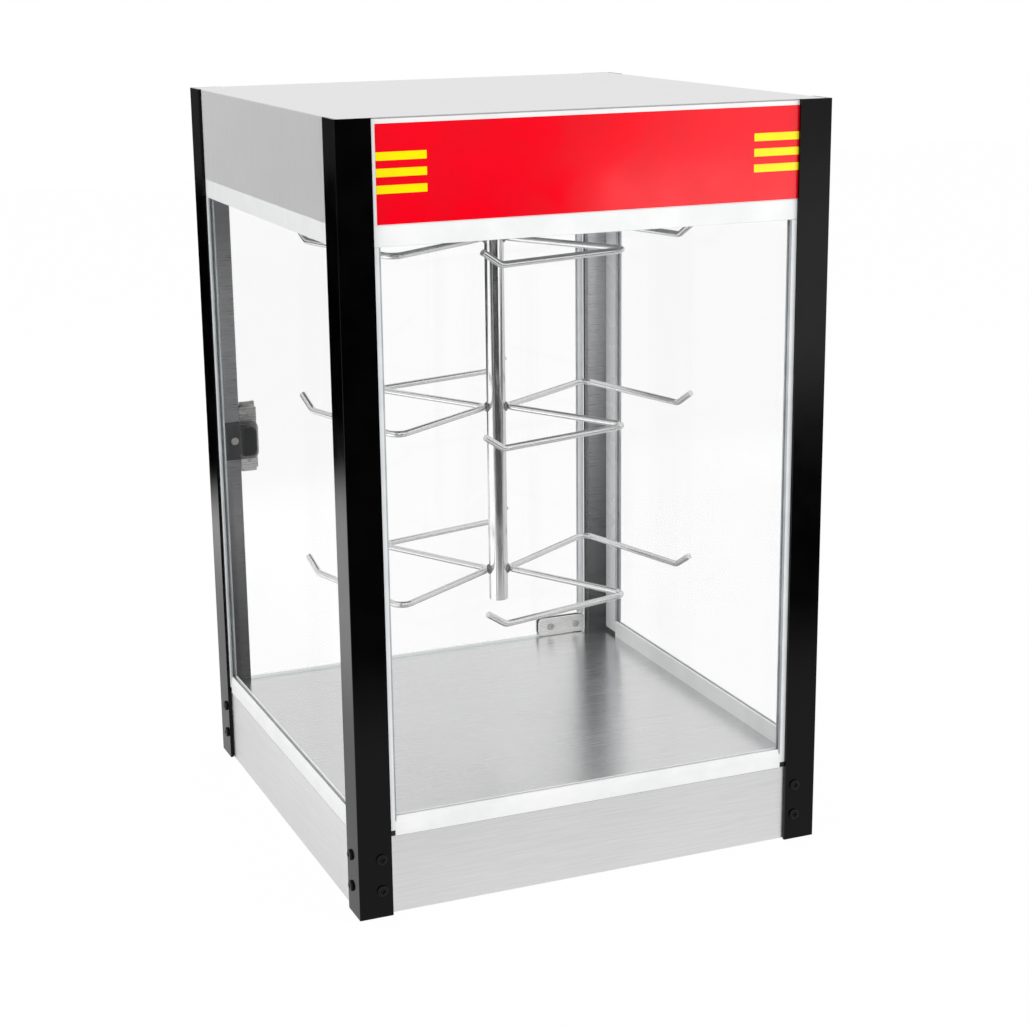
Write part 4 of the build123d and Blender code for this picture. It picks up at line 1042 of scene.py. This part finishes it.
@dataclass
class Studio:
    """White room, pale counter, soft lamps and the camera at the photograph's view.

    A pair that is named for a light holds the brightness at both ends of a fade. Other pairs say
    where a fade starts and ends: on the counter in metres, and in the room as a part of the
    ray's direction.
    """

    floor_half: float = 6.0
    camera_place: tuple[float, float, float] = (-0.7706, -1.8966, 0.8503)
    yaw: float = 0.394
    pitch: float = 0.264
    roll: float = -0.012
    lens: float = 73.64
    sensor: float = 36.0
    aim_height: float = 0.35
    ambient: float = 0.86
    front_turn: tuple[float, float] = (-0.2, 0.2)
    rear_light: tuple[float, float] = (0.5, 0.92)
    rear_rise: tuple[float, float] = (-0.35, 0.35)
    front_light: tuple[float, float] = (0.06, 1.0)
    front_rise: tuple[float, float] = (-0.34, -0.06)
    flags: tuple[Flag, ...] = (Flag(-17, 6, 9), Flag(166, 9, 6))
    flag_light: float = 0.08
    flag_head: tuple[float, float] = (-0.02, 0.12)
    counter_colour: str = "#f2f2f2"
    counter_glow: float = 0.97
    counter_light: float = 0.8
    side_light: float = 1.5
    side_edge: tuple[float, float] = (-0.50, -0.36)
    cloth_light: float = 0.06
    cloth_edge: tuple[float, float] = (-0.95, -0.60)
    board_light: tuple[float, float] = (0.02, 1.8)
    board_turn: float = float(np.radians(25))
    board_rise: tuple[float, float] = (-0.2, 0.0)
    board_edge: tuple[float, float] = (-2.4, -1.7)
    corner_side: tuple[float, float] = (-0.40, -0.30)
    corner_depth: tuple[float, float] = (1.1, 1.5)
    lamps: tuple[Softbox, ...] = (
        Softbox("key_softbox", (1.5, -1.7, 1.9), 1.4, 17.0),
        Softbox("left_softbox", (-1.9, -0.6, 1.7), 1.2, 9.0),
        Softbox("top_softbox", (0.0, 0.5, 2.4), 1.6, 10.0),
    )

    def build(self) -> None:
        """Builds world, floor, lamps and camera, and sets the view transform."""
        scene = bpy.context.scene
        scene.view_settings.view_transform = "Standard"
        self.build_world(scene)
        self.build_floor()
        for lamp in self.lamps:
            self.build_lamp(lamp)
        self.build_camera(scene)

    def build_world(self, scene: Scene) -> None:
        """A white room, as a photographer flags one off for black enamel.

        Seen directly or through glass it is white. For a reflection, brightness rises smoothly
        with the ray's height, more steeply in front, and dark flags stand on the horizon.

        Args:
            scene: scene that takes the world.
        """
        world = bpy.data.worlds.new("white_studio")
        scene.world = world
        world.use_nodes = True
        tree = world.node_tree
        tree.nodes.clear()
        place = add_node(tree, "ShaderNodeTexCoord")
        part = add_node(tree, "ShaderNodeSeparateXYZ", {"Vector": place.outputs["Generated"]})
        front = spread(tree, part.outputs["Y"], 1, 0, *self.front_turn)
        behind = spread(tree, part.outputs["Z"], *self.rear_light, *self.rear_rise)
        before = spread(tree, part.outputs["Z"], *self.front_light, *self.front_rise)
        mirrored = add_node(tree, "ShaderNodeMix", {"Factor": front, "A": behind, "B": before})
        level = add_node(tree, "ShaderNodeVectorMath", {
            0: place.outputs["Generated"], 1: (1.0, 1.0, 0.0)}, operation="MULTIPLY")
        heading = add_node(tree, "ShaderNodeVectorMath", {
            0: level.outputs["Vector"]}, operation="NORMALIZE")
        low_down = spread(tree, part.outputs["Z"], 1, 0, *self.flag_head)
        for flag in self.flags:
            turn, half, edge = np.radians([flag.heading, flag.half, flag.edge])
            facing = (float(np.sin(turn)), float(np.cos(turn)), 0.0)
            near = add_node(tree, "ShaderNodeVectorMath", {
                0: heading.outputs["Vector"], 1: facing}, operation="DOT_PRODUCT")
            outer, inner = float(np.cos(half + edge)), float(np.cos(half))
            hidden = spread(tree, near.outputs["Value"], 0, 1, outer, inner)
            share = add_node(tree, "ShaderNodeMath", {0: hidden, 1: low_down}, operation="MULTIPLY")
            mirrored = add_node(tree, "ShaderNodeMix", {
                "Factor": share.outputs[0], "A": mirrored.outputs["Result"], "B": self.flag_light})
        rays = add_node(tree, "ShaderNodeLightPath")
        base = add_node(tree, "ShaderNodeMix", {
            "Factor": rays.outputs["Is Glossy Ray"], "A": self.ambient, "B": mirrored.outputs["Result"]})
        strength = add_node(tree, "ShaderNodeMix", {
            "Factor": self.seen_plainly(tree, rays), "A": base.outputs["Result"], "B": 1.0})
        sky = add_node(tree, "ShaderNodeBackground", {
            "Color": (1, 1, 1, 1), "Strength": strength.outputs["Result"]})
        add_node(tree, "ShaderNodeOutputWorld", {"Surface": sky.outputs["Background"]})

    def seen_plainly(self, tree: NodeTree, rays: Node) -> NodeSocket:
        """1 for a ray straight from the camera or through glass, and 0 for any other."""
        plain = add_node(tree, "ShaderNodeMath", {
            0: rays.outputs["Is Camera Ray"], 1: rays.outputs["Is Transmission Ray"]}, operation="MAXIMUM")
        return plain.outputs[0]

    def build_floor(self) -> None:
        """A pale counter that keeps a soft shadow, and shows nearly white where it is seen."""
        half = self.floor_half
        corners = [(-half, -half, 0), (half, -half, 0), (half, half, 0), (-half, half, 0)]
        mesh = bpy.data.meshes.new("floor")
        mesh.from_pydata(corners, [], [(0, 1, 2, 3)])
        floor = bpy.data.objects.new("floor", mesh)
        bpy.context.scene.collection.objects.link(floor)
        material = bpy.data.materials.new("white_laminate_counter")
        material.use_nodes = True
        tree = material.node_tree
        tree.nodes.clear()
        rays = add_node(tree, "ShaderNodeLightPath")
        glow = add_node(tree, "ShaderNodeMix", {
            "Factor": rays.outputs["Is Glossy Ray"], "A": 1.0, "B": self.mirrored_counter(tree)})
        paint = add_node(tree, "ShaderNodeBsdfDiffuse", {"Color": linear(self.counter_colour)})
        light = add_node(tree, "ShaderNodeEmission", {"Strength": glow.outputs["Result"]})
        share = add_node(tree, "ShaderNodeMath", {
            0: self.seen_plainly(tree, rays), 1: self.counter_glow}, operation="MULTIPLY")
        both = add_node(tree, "ShaderNodeMath", {
            0: share.outputs[0], 1: rays.outputs["Is Glossy Ray"]}, operation="MAXIMUM")
        mixed = add_node(tree, "ShaderNodeMixShader", {
            0: both.outputs[0], 1: paint.outputs["BSDF"], 2: light.outputs["Emission"]})
        add_node(tree, "ShaderNodeOutputMaterial", {"Surface": mixed.outputs["Shader"]})
        mesh.materials.append(material)

    def mirrored_counter(self, tree: NodeTree) -> NodeSocket:
        """How bright the counter shows in reflections.

        A bright board lies along its left side, a dark cloth before the cabinet, beyond that a
        turned board that is bright towards the right, and a dark corner behind on the left.

        Args:
            tree: the counter's node tree.

        Returns:
            Output with the brightness.
        """
        place = add_node(tree, "ShaderNodeTexCoord")
        part = add_node(tree, "ShaderNodeSeparateXYZ", {"Vector": place.outputs["Object"]})
        across, along = part.outputs["X"], part.outputs["Y"]
        beside = spread(tree, across, self.side_light, self.counter_light, *self.side_edge)
        before = spread(tree, along, 1, 0, *self.cloth_edge)
        near = add_node(tree, "ShaderNodeMix", {"Factor": before, "A": beside, "B": self.cloth_light})
        slanted = add_node(tree, "ShaderNodeMath", {
            0: along, 1: float(np.tan(self.board_turn)), 2: across}, operation="MULTIPLY_ADD")
        board = spread(tree, slanted.outputs[0], *self.board_light, *self.board_rise)
        far = spread(tree, along, 1, 0, *self.board_edge)
        front = add_node(tree, "ShaderNodeMix", {"Factor": far, "A": near.outputs["Result"], "B": board})
        dark_left = spread(tree, across, 1, 0, *self.corner_side)
        dark_behind = spread(tree, along, 0, 1, *self.corner_depth)
        corner = add_node(tree, "ShaderNodeMath", {0: dark_left, 1: dark_behind}, operation="MULTIPLY")
        lit = add_node(tree, "ShaderNodeMix", {
            "Factor": corner.outputs[0], "A": front.outputs["Result"], "B": 0.0})
        return lit.outputs["Result"]

    def build_lamp(self, lamp: Softbox) -> None:
        """Hangs a softbox that faces the middle of the cabinet and that reflections don't show.

        Args:
            lamp: its name, place, side and power.
        """
        light = bpy.data.lights.new(lamp.name, "AREA")
        light.size = lamp.side
        light.energy = lamp.power
        away = Vector(lamp.place) - Vector((0, 0, self.aim_height))
        holder = bpy.data.objects.new(lamp.name, light)
        holder.location = lamp.place
        holder.rotation_euler = away.to_track_quat("Z", "Y").to_euler()
        holder.visible_glossy = False
        bpy.context.scene.collection.objects.link(holder)

    def build_camera(self, scene: Scene) -> None:
        """Places the camera by its yaw from +Y, its pitch below level and its roll, in radians.

        Args:
            scene: scene that takes the camera.
        """
        forward = Vector((np.sin(self.yaw) * np.cos(self.pitch), np.cos(self.yaw) * np.cos(self.pitch),
                          -np.sin(self.pitch)))
        level = Vector((np.cos(self.yaw), -np.sin(self.yaw), 0))
        upright = level.cross(forward)
        side = level * np.cos(self.roll) + upright * np.sin(self.roll)
        head = upright * np.cos(self.roll) - level * np.sin(self.roll)
        data = bpy.data.cameras.new("photo_camera")
        data.lens = self.lens
        data.sensor_width = self.sensor
        data.sensor_fit = "HORIZONTAL"
        camera = bpy.data.objects.new("photo_camera", data)
        turned = Matrix((side, head, -forward)).transposed().to_4x4()
        camera.matrix_world = Matrix.Translation(self.camera_place) @ turned
        scene.collection.objects.link(camera)
        scene.camera = camera


def main() -> None:
    """Loads the frame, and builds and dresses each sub-assembly."""
    logging.basicConfig(level=logging.INFO, format="%(name)s: %(message)s")
    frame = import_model()
    Studio().build()
    pivots = {joint["child"]: Vector(joint["pos_m"]) for joint in frame["joints"]}
    dressed: set[str] = set()
    for kind in (Carcass, Glazing, Header, Rack, Controls, Door, Works):
        part = kind(frame["nodes"], pivots)
        part.dress()
        part.build()
        dressed.update(name for names in part.finishes().values() for name in names)
        LOG.info("built %s", kind.__name__)
    LOG.info("nodes left plain: %s", sorted(set(frame["nodes"]) - dressed))


if __name__ == "__main__":
    main()
